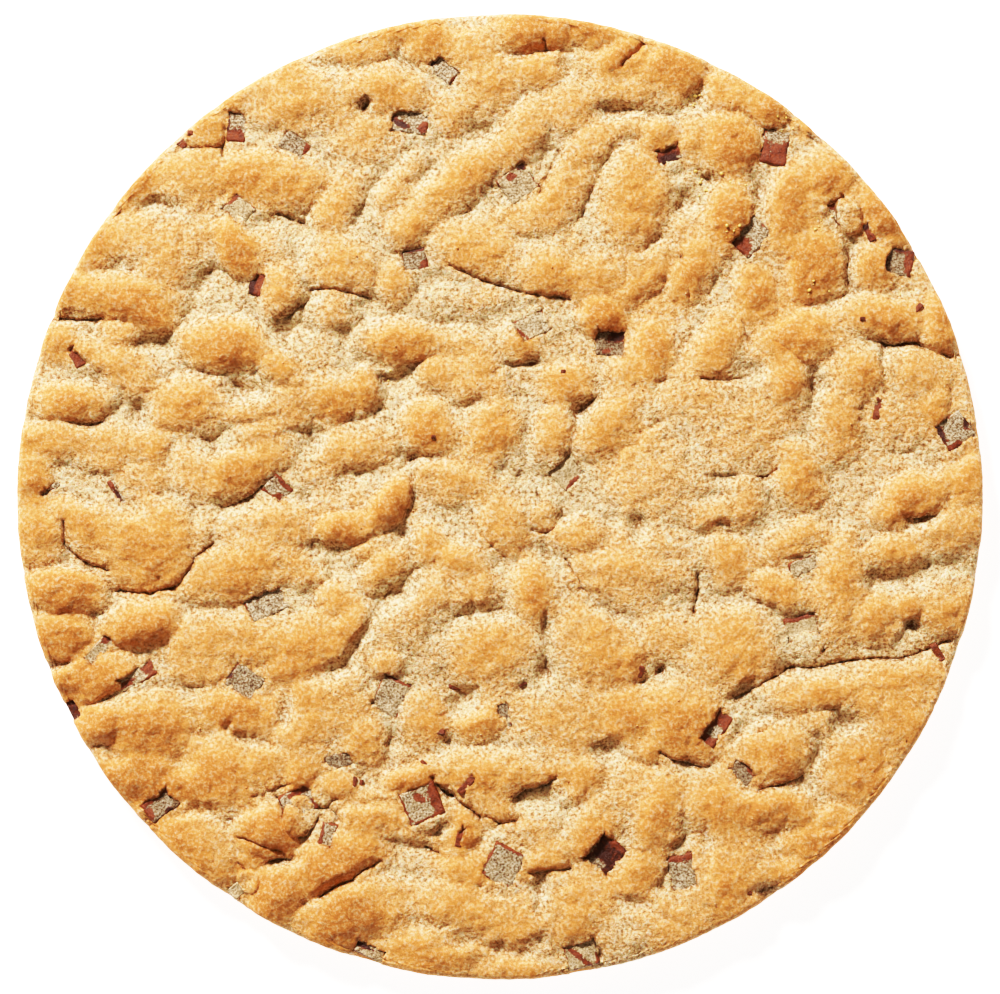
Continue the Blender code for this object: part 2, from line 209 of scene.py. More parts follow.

# Lumps of dough, read from the photograph and from the heights that its shading suggests
LUMPS = tuple(Lump(*row) for row in (
    (200, 180, 36, 24, -5, 2.6), (272, 182, 48, 26, 0, 3.1), (305, 100, 48, 28, 0, 2.6),
    (207, 133, 18, 15, 0, 1.4), (134, 184, 24, 18, 45, 1.8), (160, 243, 44, 24, -5, 2.3),
    (122, 299, 50, 19, -4, 3.2), (238, 248, 30, 17, -62, 3.9), (282, 291, 29, 20, 80, 3.1),
    (268, 250, 24, 18, -10, 2.0), (228, 345, 42, 21, -3, 3.5), (342, 268, 37, 30, 10, 3.1),
    (333, 314, 20, 18, 0, 2.8), (147, 313, 26, 15, -20, 2.8), (240, 92, 24, 14, 25, 1.6),
    (62, 342, 20, 16, 10, 1.9), (100, 250, 24, 16, 40, 1.8), (338, 208, 44, 16, 62, 2.2),
    (392, 198, 44, 15, 55, 2.1), (455, 185, 60, 19, 38, 2.7), (410, 228, 24, 18, 35, 3.2),
    (365, 140, 36, 28, 20, 1.5), (388, 91, 42, 20, -8, 2.8), (364, 50, 32, 14, 15, 1.9),
    (402, 33, 30, 12, 12, 2.0), (432, 44, 24, 18, 10, 2.6), (489, 86, 26, 30, 0, 2.6),
    (456, 110, 26, 18, 30, 1.8), (532, 32, 36, 19, 0, 3.1), (540, 73, 26, 18, 5, 2.4),
    (592, 32, 27, 14, -10, 2.2), (582, 62, 19, 13, 0, 0.9), (622, 60, 30, 18, 30, 2.5),
    (668, 72, 28, 24, -10, 2.8), (630, 92, 40, 14, 5, 1.9), (570, 110, 34, 24, 35, 2.5),
    (524, 134, 40, 20, 52, 3.0), (588, 150, 42, 18, 38, 2.5), (658, 137, 20, 15, 5, 3.0),
    (565, 192, 42, 20, 52, 2.5), (630, 180, 40, 25, 52, 2.7), (634, 215, 42, 24, 50, 2.8),
    (478, 252, 46, 26, -14, 2.9), (600, 275, 47, 22, 14, 2.2), (522, 218, 34, 14, 0, 1.5),
    (395, 281, 16, 20, 0, 2.6), (470, 300, 50, 14, 5, 1.2), (693, 140, 13, 22, 0, 2.2),
    (729, 147, 25, 28, 0, 3.3), (765, 108, 20, 15, -30, 2.8), (729, 217, 32, 20, 80, 3.2),
    (788, 205, 17, 42, 0, 2.7), (816, 266, 24, 34, 5, 3.0), (688, 234, 20, 20, 0, 1.2),
    (694, 266, 30, 17, 68, 2.7), (752, 300, 18, 30, 0, 2.2), (716, 350, 34, 20, 60, 3.0),
    (826, 180, 24, 20, -20, 2.5), (882, 215, 32, 18, -50, 2.5), (873, 268, 18, 22, 0, 2.6),
    (880, 319, 40, 17, -12, 3.2), (800, 340, 50, 24, 14, 2.7), (938, 328, 15, 26, 0, 2.5),
    (858, 374, 28, 24, 0, 3.0), (914, 375, 28, 22, 0, 2.2), (838, 417, 22, 40, 0, 2.9),
    (785, 385, 19, 25, 0, 3.4), (735, 422, 60, 42, 15, 2.1), (799, 473, 22, 30, 5, 2.7),
    (914, 498, 34, 19, 25, 3.4), (963, 482, 18, 28, 0, 2.1), (945, 531, 37, 22, 10, 2.5),
    (742, 500, 20, 23, 0, 2.1), (796, 543, 30, 18, 25, 2.4), (680, 100, 18, 10, 0, 1.2),
    (812, 118, 16, 14, -45, 2.0), (905, 415, 30, 26, 0, 1.4), (668, 478, 60, 38, 5, 2.4),
    (899, 551, 30, 14, 5, 2.5), (838, 590, 46, 24, 85, 3.2), (874, 616, 24, 22, 0, 2.9),
    (946, 606, 28, 25, 0, 2.1), (784, 592, 32, 16, -20, 3.1), (732, 650, 46, 39, 10, 2.8),
    (650, 566, 46, 43, 0, 2.3), (612, 422, 40, 20, 42, 2.9), (637, 372, 28, 20, 20, 2.2),
    (601, 317, 20, 17, 0, 3.3), (653, 352, 16, 24, 0, 2.4), (398, 341, 44, 17, 0, 2.8),
    (432, 428, 26, 23, 0, 3.1), (472, 375, 27, 31, 10, 2.5), (492, 436, 28, 35, 0, 2.9),
    (552, 437, 18, 28, -20, 2.9), (462, 479, 44, 22, -15, 2.3), (503, 519, 30, 32, 0, 2.9),
    (542, 518, 13, 21, 0, 2.1), (460, 560, 28, 17, -10, 2.9), (415, 615, 62, 24, 42, 2.7),
    (480, 589, 32, 18, 20, 2.3), (534, 594, 20, 30, 0, 3.1), (576, 536, 26, 16, 10, 2.6),
    (604, 592, 42, 28, -25, 2.2), (494, 652, 45, 33, 0, 3.1), (590, 646, 46, 41, 0, 2.9),
    (668, 634, 34, 22, 10, 2.2), (568, 384, 22, 17, 10, 2.2), (690, 400, 40, 30, 0, 2.3),
    (570, 240, 20, 18, 0, 1.2), (122, 368, 38, 20, -25, 2.5), (188, 407, 38, 24, 10, 3.1),
    (74, 402, 34, 16, 5, 3.2), (55, 441, 36, 18, 5, 2.3), (112, 447, 34, 20, 5, 2.2),
    (152, 448, 22, 20, 0, 2.7), (36, 478, 18, 26, 0, 2.5), (240, 468, 44, 20, 28, 3.0),
    (250, 412, 26, 15, 5, 2.4), (338, 394, 34, 20, 0, 2.9), (326, 352, 34, 22, 20, 1.8),
    (360, 446, 34, 17, 10, 1.7), (148, 545, 48, 40, -30, 3.3), (42, 531, 24, 27, 0, 2.5),
    (66, 591, 32, 19, -5, 4.0), (207, 530, 12, 28, -10, 1.8), (242, 569, 50, 26, 14, 3.5),
    (265, 528, 44, 22, 10, 2.5), (142, 625, 32, 19, 8, 3.8), (62, 633, 28, 23, 0, 2.5),
    (236, 640, 62, 24, 3, 2.5), (312, 642, 40, 29, 15, 2.8), (300, 572, 22, 16, 0, 1.6),
    (388, 506, 30, 13, 52, 3.4), (384, 568, 26, 15, 42, 2.8), (336, 700, 36, 44, -10, 2.5),
    (425, 656, 24, 24, 0, 1.7), (88, 681, 40, 20, 15, 2.7), (152, 726, 40, 28, 0, 3.0),
    (236, 712, 36, 20, -10, 2.5), (216, 776, 44, 34, 5, 3.2), (305, 736, 26, 52, 0, 2.4),
    (262, 762, 24, 26, 0, 2.1), (268, 831, 28, 23, 0, 3.9), (198, 846, 46, 30, -40, 2.1),
    (278, 892, 24, 27, -20, 3.8), (250, 862, 15, 15, 0, 2.1), (336, 864, 44, 26, 25, 3.5),
    (368, 815, 34, 22, 5, 2.5), (356, 912, 56, 26, 12, 3.2), (339, 783, 17, 14, 0, 2.5),
    (412, 780, 24, 12, 5, 2.9), (504, 775, 64, 22, 0, 3.3), (576, 782, 21, 21, 0, 2.5),
    (482, 714, 28, 21, 35, 2.5), (425, 713, 25, 27, 0, 2.1), (560, 716, 46, 46, 0, 2.3),
    (625, 716, 27, 27, 0, 2.5), (686, 720, 38, 38, 0, 3.1), (654, 747, 22, 14, 0, 2.0),
    (592, 832, 22, 34, -20, 3.5), (634, 798, 30, 28, 0, 2.2), (657, 815, 21, 38, -12, 3.8),
    (762, 808, 50, 17, 0, 3.1), (774, 752, 42, 26, 20, 3.2), (812, 694, 44, 17, 5, 3.1),
    (853, 766, 35, 35, 0, 2.7), (900, 716, 44, 32, 15, 2.1), (638, 870, 38, 20, 55, 2.5),
    (583, 901, 36, 36, 0, 2.7), (731, 871, 37, 43, 0, 2.3), (786, 872, 28, 12, -15, 1.8),
    (650, 926, 52, 28, 10, 2.5), (500, 922, 52, 30, -5, 2.3), (520, 966, 30, 12, 0, 1.4),
    (426, 949, 42, 22, 0, 2.5), (815, 640, 26, 24, 0, 1.4), (470, 870, 24, 20, 0, 1.8),
    (835, 830, 26, 18, 40, 1.8), (650, 430, 36, 30, 20, 2.2), (546, 272, 30, 22, -12, 3.0),
    (250, 178, 26, 20, 0, 2.4), (470, 52, 26, 20, 0, 2.2), (205, 232, 22, 20, 0, 1.8),
    (168, 264, 26, 22, 60, 2.5), (354, 92, 12, 14, 0, 2.2), (284, 370, 28, 14, -40, 3.0),
    (98, 358, 28, 12, -24, 2.4), (290, 400, 20, 24, 0, 2.0), (62, 292, 22, 18, 10, 2.6),
    (848, 214, 20, 13, -68, 2.3), (932, 408, 14, 22, 0, 2.2), (885, 415, 18, 24, 0, 1.8),
    (725, 562, 28, 22, 0, 2.2), (718, 513, 30, 14, 8, 2.2), (84, 522, 34, 14, -32, 2.8),
    (174, 535, 18, 34, 5, 2.9), (101, 722, 24, 16, 0, 3.8), (150, 776, 44, 24, -20, 2.6),
    (205, 668, 30, 14, 0, 1.9), (290, 668, 20, 12, 0, 1.9), (364, 390, 12, 20, 0, 2.8),
    (492, 428, 20, 22, 0, 2.6), (430, 546, 18, 18, 0, 2.2), (456, 907, 40, 20, -10, 2.8),
    (575, 772, 28, 18, -10, 2.7), (498, 806, 34, 18, -25, 2.3), (900, 680, 38, 16, 5, 1.9),
    (866, 700, 20, 16, 0, 2.0), (822, 832, 36, 22, 30, 2.2), (600, 568, 30, 14, -8, 2.2),
    (195, 204, 20, 14, 0, 1.9), (302, 106, 26, 18, 0, 2.5), (628, 128, 20, 14, 0, 2.0),
    (732, 97, 30, 15, -10, 2.2), (812, 204, 14, 22, 0, 1.8), (150, 476, 26, 15, 0, 1.8),
    (193, 470, 18, 28, 10, 2.4), (462, 346, 26, 16, 0, 2.0), (440, 374, 16, 13, 0, 2.2),
    (348, 528, 26, 13, 5, 3.2), (340, 601, 18, 17, 0, 2.4), (372, 548, 22, 9, 25, 1.8),
    (516, 342, 20, 16, 0, 2.2), (640, 572, 50, 16, -6, 2.8), (906, 607, 14, 12, 0, 2.8),
    (815, 722, 22, 12, 0, 2.4), (350, 628, 14, 26, -30, 2.8), (388, 664, 18, 14, 0, 3.2),
    (362, 738, 20, 24, 0, 2.5), (302, 774, 12, 18, 0, 3.0), (630, 655, 10, 14, 0, 2.4),
    (358, 902, 22, 18, 10, 3.4), (573, 925, 20, 20, 0, 2.9), (730, 806, 46, 30, -6, 2.8),
    (728, 890, 16, 22, 0, 2.4), (463, 828, 16, 20, 0, 2.6), (256, 548, 24, 18, 0, 2.6),
    (552, 856, 30, 16, 20, 2.6), (536, 830, 26, 22, 0, 2.0), (119, 334, 18, 13, 0, 2.2),
    (645, 276, 34, 14, 45, 2.2), (255, 436, 28, 14, 15, 2.4), (96, 536, 26, 22, -20, 2.6),
))

# Dough that lies over the edge of a chunk
LAPS = tuple(Lump(*row) for row in (
    (300, 815, 15, 19, 0, 1.6), (847, 216, 17, 11, -68, 1.0), (248, 219, 10, 8, 0, 0.5),
    (806, 645, 16, 13, 0, 0.35), (528, 192, 10, 8, 20, 0.3), (504, 197, 10, 5, -40, 0.3),
    (249, 881, 11, 10, 40, -0.1), (505, 723, 8, 6, 0, 0.2), (332, 765, 8, 5, 15, 0.25),
))

# Cracks and folds in the dough
CREASES = tuple(Crease(*row) for row in (
    (((277, 212), (292, 219), (305, 225)), 2.5, 1.6), (((226, 115), (224, 135), (222, 157)), 2.0, 1.2),
    (((190, 148), (206, 149), (222, 148)), 2.0, 1.0), (((310, 290), (335, 290), (370, 297)), 2.2, 1.5),
    (((278, 320), (290, 315), (300, 305)), 2.2, 1.6),
    (((450, 265), (480, 280), (510, 290), (540, 295), (570, 300)), 2.2, 1.5),
    (((65, 520), (65, 545), (85, 560), (110, 570)), 2.2, 1.7),
    (((120, 590), (150, 592), (175, 587), (192, 568), (197, 558), (215, 545)), 2.4, 2.0),
    (((240, 500), (252, 494), (262, 485)), 2.0, 1.3), (((530, 872), (550, 868), (570, 868)), 2.0, 1.2),
    (((320, 895), (350, 878), (380, 860)), 2.4, 1.6),
    (((735, 700), (750, 690), (770, 678), (790, 668)), 2.4, 1.6),
    (((840, 662), (870, 659), (900, 658), (950, 640)), 2.2, 1.5),
    (((884, 344), (912, 343), (950, 358)), 3.4, 1.5),
    (((660, 422), (640, 436), (620, 456), (606, 480)), 5.5, 0.8),
    (((50, 318), (78, 320), (105, 318)), 2.4, 1.5), (((566, 560), (574, 573), (583, 588)), 1.6, 1.3),
    (((697, 574), (697, 592), (693, 613)), 2.7, 1.7), (((905, 517), (915, 518), (925, 515)), 3.0, 2.0),
    (((515, 796), (525, 788), (545, 783), (556, 776)), 3.0, 1.8), (((545, 42), (546, 52)), 2.4, 1.6),
    (((622, 66), (638, 50), (650, 38)), 3.0, 1.4), (((700, 379), (724, 381), (748, 378)), 2.6, 1.2),
    (((713, 473), (735, 476), (757, 478)), 1.8, 0.5), (((757, 478), (768, 476), (778, 469)), 2.2, 1.3),
    (((610, 150), (596, 186), (578, 222), (566, 244)), 4.4, 0.6),
    (((559, 152), (550, 172), (540, 194)), 2.4, 1.2), (((786, 666), (812, 667), (840, 662)), 3.0, 1.3),
    (((426, 845), (433, 851), (440, 853)), 2.0, 1.3), (((500, 822), (508, 820), (516, 821)), 2.0, 1.2),
    (((472, 512), (478, 530), (492, 545), (504, 556)), 1.8, 1.0),
    (((592, 938), (600, 948), (601, 962)), 2.2, 1.6), (((276, 148), (282, 155), (290, 160)), 1.6, 0.9),
    (((492, 187), (498, 194), (504, 198)), 1.8, 1.1),
    (((660, 752), (672, 758), (684, 760), (700, 766)), 2.0, 1.3),
    (((742, 322), (748, 340), (762, 354)), 1.4, 0.7), (((772, 340), (785, 350), (800, 362)), 1.2, 0.6),
    (((277, 797), (284, 812), (291, 826), (300, 833)), 2.0, 1.8),
    (((300, 833), (310, 828), (318, 818)), 2.0, 1.6),
    (((240, 836), (256, 841), (272, 846), (284, 851)), 2.0, 1.4),
    (((316, 806), (327, 808), (335, 812), (338, 822)), 2.0, 1.5), (((324, 807), (338, 798)), 1.6, 1.0),
    (((681, 256), (683, 276), (690, 296)), 1.5, 0.9), (((252, 797), (272, 788), (292, 783)), 1.6, 1.0),
    (((758, 790), (778, 784), (800, 775)), 2.0, 1.3),
    (((735, 733), (752, 735), (766, 730), (776, 721)), 1.3, 0.8),
    (((433, 777), (438, 785), (443, 791)), 3.0, 2.4), (((442, 790), (450, 795)), 4.6, 3.0),
    (((452, 796), (463, 803), (480, 817)), 2.6, 2.0), (((488, 815), (503, 824), (520, 818)), 1.6, 1.0),
    (((537, 492), (540, 503)), 2.0, 1.4), (((239, 861), (242, 866), (246, 869)), 1.4, 1.0),
    (((533, 530), (545, 533), (553, 528)), 1.6, 1.0),
))

# Dark hollows between lumps: middle and half sizes in photo pixels, turn, depth as a negative rise
HOLLOWS = tuple(Lump(*row) for row in (
    (817, 140, 7, 5, 0, -2.0), (696, 98, 14, 10, 30, -2.2), (706, 178, 7, 4, 0, -1.6),
    (142, 415, 10, 13, 0, -2.0), (410, 462, 8, 5, 30, -1.8), (345, 341, 7, 13, 0, -1.8),
    (505, 712, 6, 5, 0, -1.6), (661, 671, 6, 6, 0, -2.6), (722, 522, 7, 4, 0, -1.5),
    (803, 558, 14, 4, 0, -1.3), (847, 724, 14, 9, 0, -2.0), (815, 749, 7, 14, 0, -1.6),
    (287, 709, 8, 15, -10, -2.7), (228, 727, 6, 4, 0, -1.5), (275, 858, 8, 3, 0, -1.8),
    (366, 106, 6, 7, 0, -3.6), (533, 363, 8, 6, 0, -1.5), (447, 793, 4, 4, 0, -2.6),
    (738, 690, 12, 5, 45, -1.8), (763, 890, 14, 6, 0, -1.9), (385, 378, 6, 5, 0, -1.4),
    (582, 408, 12, 9, 25, -2.2), (638, 527, 10, 12, 0, -2.6), (748, 257, 7, 7, 0, -1.4),
    (666, 381, 7, 4, 0, -1.0), (617, 112, 17, 9, 0, -2.2), (320, 66, 16, 7, 0, -1.3),
    (204, 284, 16, 7, 55, -1.6), (157, 345, 18, 8, 10, -1.8), (92, 370, 16, 6, -40, -1.5),
    (244, 392, 20, 9, -5, -2.2), (222, 444, 30, 8, 5, -0.8), (369, 222, 9, 18, 0, -1.2),
    (479, 133, 10, 8, 0, -1.0), (88, 424, 16, 5, 0, -1.3), (530, 54, 22, 6, 0, -1.2),
    (776, 172, 24, 8, 50, -1.2), (757, 212, 5, 28, 0, -1.4), (683, 203, 14, 11, 0, -2.2),
    (850, 262, 6, 28, 0, -1.6), (818, 306, 34, 6, 18, -1.5), (813, 405, 6, 12, 0, -0.9),
    (883, 366, 4, 24, 0, -1.2), (888, 580, 26, 8, 0, -1.6), (740, 604, 30, 6, 0, -1.2),
    (913, 624, 7, 7, 30, -1.9), (130, 510, 17, 10, -10, -1.9), (328, 560, 24, 13, -20, -1.6),
    (125, 690, 26, 6, 25, -1.4), (112, 756, 14, 8, -20, -1.5), (186, 762, 12, 12, 0, -1.6),
    (257, 741, 24, 6, -16, -1.6), (399, 380, 19, 9, 35, -2.2), (472, 405, 16, 5, 5, -1.3),
    (430, 460, 30, 6, -5, -1.4), (366, 474, 24, 8, 10, -0.6), (400, 597, 20, 9, 38, -2.1),
    (478, 612, 28, 9, -5, -1.5), (608, 608, 34, 9, -28, -2.2), (546, 640, 5, 24, 0, -1.4),
    (506, 460, 6, 20, -20, -0.7), (467, 703, 18, 13, 0, -3.1), (450, 738, 10, 8, 0, -1.2),
    (608, 747, 14, 9, 20, -2.4), (540, 794, 23, 9, 18, -2.0), (443, 827, 13, 8, 20, -2.6),
    (508, 950, 28, 7, -14, -1.6), (539, 902, 4, 14, 0, -1.2), (636, 904, 18, 7, -20, -1.6),
    (334, 670, 20, 9, 20, -2.4), (738, 716, 8, 18, -30, -1.2), (706, 840, 6, 26, 0, -1.2),
    (335, 884, 32, 6, 33, -1.3), (281, 862, 16, 5, 10, -1.2), (430, 177, 18, 9, 20, -1.3),
    (160, 205, 22, 7, -5, -1.4), (286, 328, 8, 11, 0, -1.4), (315, 441, 13, 11, 30, -2.0),
    (345, 483, 22, 12, 20, -1.0), (413, 478, 5, 20, 0, -1.3), (405, 534, 8, 7, 30, -1.2),
    (719, 479, 14, 5, 0, -1.0), (546, 545, 5, 16, 0, -1.1), (821, 388, 10, 9, 0, -1.8),
    (752, 372, 12, 10, 0, -1.0), (924, 522, 16, 7, 25, -1.5), (358, 642, 6, 20, -30, -1.2),
    (395, 735, 6, 30, -10, -1.0), (545, 671, 8, 10, 0, -2.4), (688, 763, 16, 5, -10, -1.1),
    (746, 786, 12, 8, -30, -1.5), (501, 893, 13, 5, 0, -1.3), (240, 508, 26, 9, 0, -1.0),
    (302, 495, 13, 10, 0, -1.2), (500, 587, 10, 24, 0, -1.1), (412, 845, 22, 5, -8, -1.2),
    (541, 884, 8, 13, 0, -1.8), (460, 938, 24, 7, 16, -1.3), (536, 940, 12, 8, 30, -1.2),
    (662, 918, 12, 6, -20, -1.0), (566, 68, 7, 10, 0, -1.2), (505, 203, 14, 6, 20, -1.2),
    (366, 804, 22, 5, 5, -1.4), (341, 818, 6, 10, 0, -1.4), (62, 664, 14, 5, 0, -1.5),
    (190, 808, 26, 8, 0, -1.5), (510, 365, 13, 4, 0, -0.7), (523, 687, 8, 5, 20, -1.4),
    (655, 682, 16, 8, 0, -1.0), (957, 460, 8, 12, 0, -1.2),
))

# Chunks of chocolate, in the order of their numbers
CHUNKS = tuple(Chunk(*row) for row in (
    (237, 128, 32, 21, 85, 0.6, 4, 0, FILM), (240, 210, 30, 25, -40, -0.2, -4, 3, FILM, 0.65),
    (258, 285, 26, 16, 75, 0.5, 5, -6, BARE), (296, 146, 32, 22, -35, 0.3, 5, 0, FILM, -0.4),
    (77, 356, 26, 12, -59, -0.3, 0, 4, BARE), (444, 71, 32, 20, -42, 0.6, -4, 3, FILM),
    (410, 124, 40, 25, -8, 0.4, 2, -4, FILM), (517, 184, 36, 33, 35, 0.1, 3, 3, FILM, 0.45),
    (415, 260, 28, 23, 10, 0.5, -5, 4, FILM, -0.5), (532, 327, 36, 26, 25, 0.1, 3, -4, FILM, 0.35),
    (610, 343, 33, 30, -5, 1.3, 6, 0, FILM, -0.9), (668, 155, 28, 18, 20, 0.3, 0, 0, BARE),
    (774, 148, 38, 30, 80, 0.3, 5, 0, BARE), (750, 238, 40, 28, 49, 0.4, 4, 0, FILM),
    (842, 214, 34, 22, -60, 0.8, 4, 0, FILM, 0.6), (868, 233, 20, 8, -65, 0.1, 0, 0, BARE),
    (898, 263, 30, 29, -10, 0.8, 4, -4, FILM, -0.6), (51, 489, 24, 8, 35, 0.0, 0, 10, FILM),
    (117, 491, 26, 8, -60, -0.2, 0, 0, FILM), (278, 488, 28, 24, -42, 0.2, 4, 6, FILM),
    (267, 604, 43, 28, 24, 0.5, 3, -4, FILM), (100, 649, 36, 14, 48, 0.4, 0, 6, FILM, 0.4),
    (138, 676, 42, 18, 28, 0.2, 2, -3, FILM, 0.3), (245, 681, 35, 29, -35, 0.3, 3, 3, FILM, -0.3),
    (74, 710, 22, 10, -63, 1.3, 0, 0, DARK), (567, 473, 31, 28, 44, 0.4, 5, 4, FILM, 0.8),
    (391, 695, 40, 33, 65, 0.4, -3, 4, FILM, 0.25), (877, 409, 24, 9, 80, -0.3, 0, 0, BARE),
    (953, 431, 34, 34, 33, -0.6, 2, 2, FILM), (803, 635, 44, 35, 105, 0.6, -4, 0, FILM, 0.9),
    (937, 652, 21, 8, -58, 0.1, 0, 0, BARE), (161, 804, 36, 25, 37, -0.2, -3, -3, FILM, -0.75),
    (299, 801, 36, 30, 28, 0.1, 3, 4, FILM), (328, 834, 26, 18, 75, 0.4, 0, 5, FILM),
    (340, 760, 30, 16, 15, 0.3, 4, 0, FILM, -0.8), (241, 887, 26, 15, 40, 0.4, 0, 0, FILM, 0.5),
    (422, 803, 40, 38, 22, -1.1, 3, 3, FILM, 0.2), (503, 864, 41, 37, 62, -0.7, -4, 3, FILM, 0.1),
    (605, 853, 37, 34, 50, 0.9, -5, 4, DARK, -0.4), (461, 834, 25, 8, 75, -0.6, 0, 0, BARE),
    (467, 783, 25, 8, 50, -0.6, 0, 0, BARE), (682, 871, 38, 30, 104, 0.5, -5, 0, FILM),
    (581, 954, 34, 28, 15, 0.0, 0, 3, FILM, 0.6), (370, 950, 32, 14, -25, 0.7, 0, 0, FILM, 0.4),
    (715, 728, 40, 22, 54, 0.1, 4, -3, BARE), (742, 771, 28, 20, -45, 0.5, 0, 5, FILM, -0.95),
    (803, 566, 32, 18, 20, 0.5, 3, 0, FILM, 0.4), (504, 715, 26, 14, 100, 0.3, 0, 0, FILM, -0.9),
))

# Patches on the chunks that differ from the rest: bare ones, filmed ones, and dark ones that are painted
# shade
STREAKS = tuple(Streak(*row) for row in (
    (227, 126, 14, 3, 85, DARK), (240, 111, 10, 3, -5, DARK), (236, 137, 9, 8, 0, BARE),
    (234, 198, 8, 4.5, 35, BARE), (237, 190, 10, 3, -25, DARK), (253, 286, 12, 3, 80, DARK),
    (307, 151, 7, 2.5, 80, BARE), (434, 64, 10, 1.8, 48, DARK), (450, 62, 12, 1.8, -42, DARK),
    (456, 83, 6, 5, 40, BARE), (394, 117, 4, 3.5, 0, BARE), (401, 125, 9, 3, -25, DARK),
    (423, 129, 4, 6, -30, BARE), (511, 178, 5, 3.5, 20, BARE), (521, 168, 4, 3, 20, DARK),
    (412, 250, 11, 3, 5, DARK), (425, 265, 6, 4, 50, BARE), (521, 334, 12, 1.4, -38, BARE),
    (548, 318, 4, 4, 0, DARK), (610, 330, 15, 3, -4, DARK), (617, 337, 9, 5, 10, DARK),
    (607, 351, 5, 2, 20, BARE), (677, 160, 5, 4, 20, FILM), (668, 160, 10, 5, 20, DARK),
    (777, 136, 12, 7, 0, FILM), (759, 146, 13, 2, 85, DARK), (776, 128, 12, 2, -8, DARK),
    (789, 150, 12, 2, 80, DARK), (740, 249, 12, 8, 50, BARE), (862, 223, 8, 4, -65, DARK),
    (733, 240, 11, 2, 55, DARK), (830, 205, 7, 4, -60, BARE), (898, 249, 15, 3, -10, DARK),
    (909, 265, 5, 12, 0, BARE), (45, 484, 6, 3, 40, DARK), (53, 491, 4, 2, 35, BARE),
    (112, 485, 5, 2.5, -60, BARE), (119, 495, 6, 2, -60, DARK), (286, 484, 10, 3.5, -42, BARE),
    (277, 498, 5, 4, 0, BARE), (262, 592, 17, 2, 26, DARK), (241, 601, 5, 4, 40, BARE),
    (108, 638, 7, 4, 45, BARE), (96, 641, 12, 2, 48, DARK), (150, 667, 8, 6, 20, BARE),
    (127, 684, 10, 3, 35, BARE), (150, 679, 9, 3, 40, BARE), (128, 668, 12, 2.5, 40, DARK),
    (230, 674, 5, 3, 40, DARK), (549, 465, 13, 3, 55, DARK), (573, 483, 9, 3, 44, BARE),
    (397, 679, 18, 2, -24, BARE), (378, 680, 12, 1.5, 65, DARK), (936, 430, 14, 4, -57, DARK),
    (950, 448, 12, 3.4, 33, BARE), (965, 420, 3, 9, 0, DARK), (797, 616, 16, 4.5, 12, BARE),
    (797, 609, 17, 2, 12, DARK), (156, 796, 17, 3, 37, BARE), (170, 809, 4, 3, 20, DARK),
    (150, 812, 4, 8, 37, BARE), (300, 790, 13, 3, 28, BARE), (316, 804, 10, 2, -55, BARE),
    (321, 834, 12, 3, 80, BARE), (405, 810, 18, 2.2, -68, BARE), (436, 798, 19, 5.5, -68, BARE),
    (429, 818, 16, 2.4, 22, BARE), (419, 797, 6, 4, -30, BARE), (488, 856, 19, 2.3, 62, BARE),
    (511, 847, 18, 2.8, -28, BARE), (504, 886, 9, 2.4, -28, BARE), (480, 873, 5, 3, 0, BARE),
    (596, 862, 8, 6, 30, FILM), (592, 846, 5, 4, 50, FILM), (614, 842, 14, 3, -42, BARE),
    (682, 857, 14, 3, 10, BARE), (577, 954, 9, 2.5, -35, BARE), (587, 962, 5, 2.5, -30, BARE),
    (727, 715, 9, 10, 54, BARE), (714, 731, 7, 5, 40, FILM), (704, 742, 7, 4, 50, BARE),
    (751, 770, 12, 2.4, -50, BARE), (362, 944, 12, 2, -25, DARK), (408, 820, 5, 3, 0, BARE),
    (602, 852, 6, 9, 40, DARK),
))

# Slivers of chocolate between the lumps
SLIVERS = tuple(Sliver(*row) for row in (
    (183, 145, 12, 8, 40), (191, 134, 6, 5, 0), (533, 364, 11, 8, 10), (916, 310, 14, 5, 50),
    (455, 686, 18, 7, 0), (523, 683, 10, 4, 35), (640, 671, 12, 6, 70), (911, 624, 10, 6, 35),
    (440, 731, 11, 6, -15), (425, 763, 10, 4, -40), (355, 781, 10, 4, 80), (361, 783, 9, 4, 75),
    (434, 437, 4, 4, 0), (563, 372, 5, 4, 0), (748, 892, 5, 4, 0), (861, 320, 6, 4, 0),
))

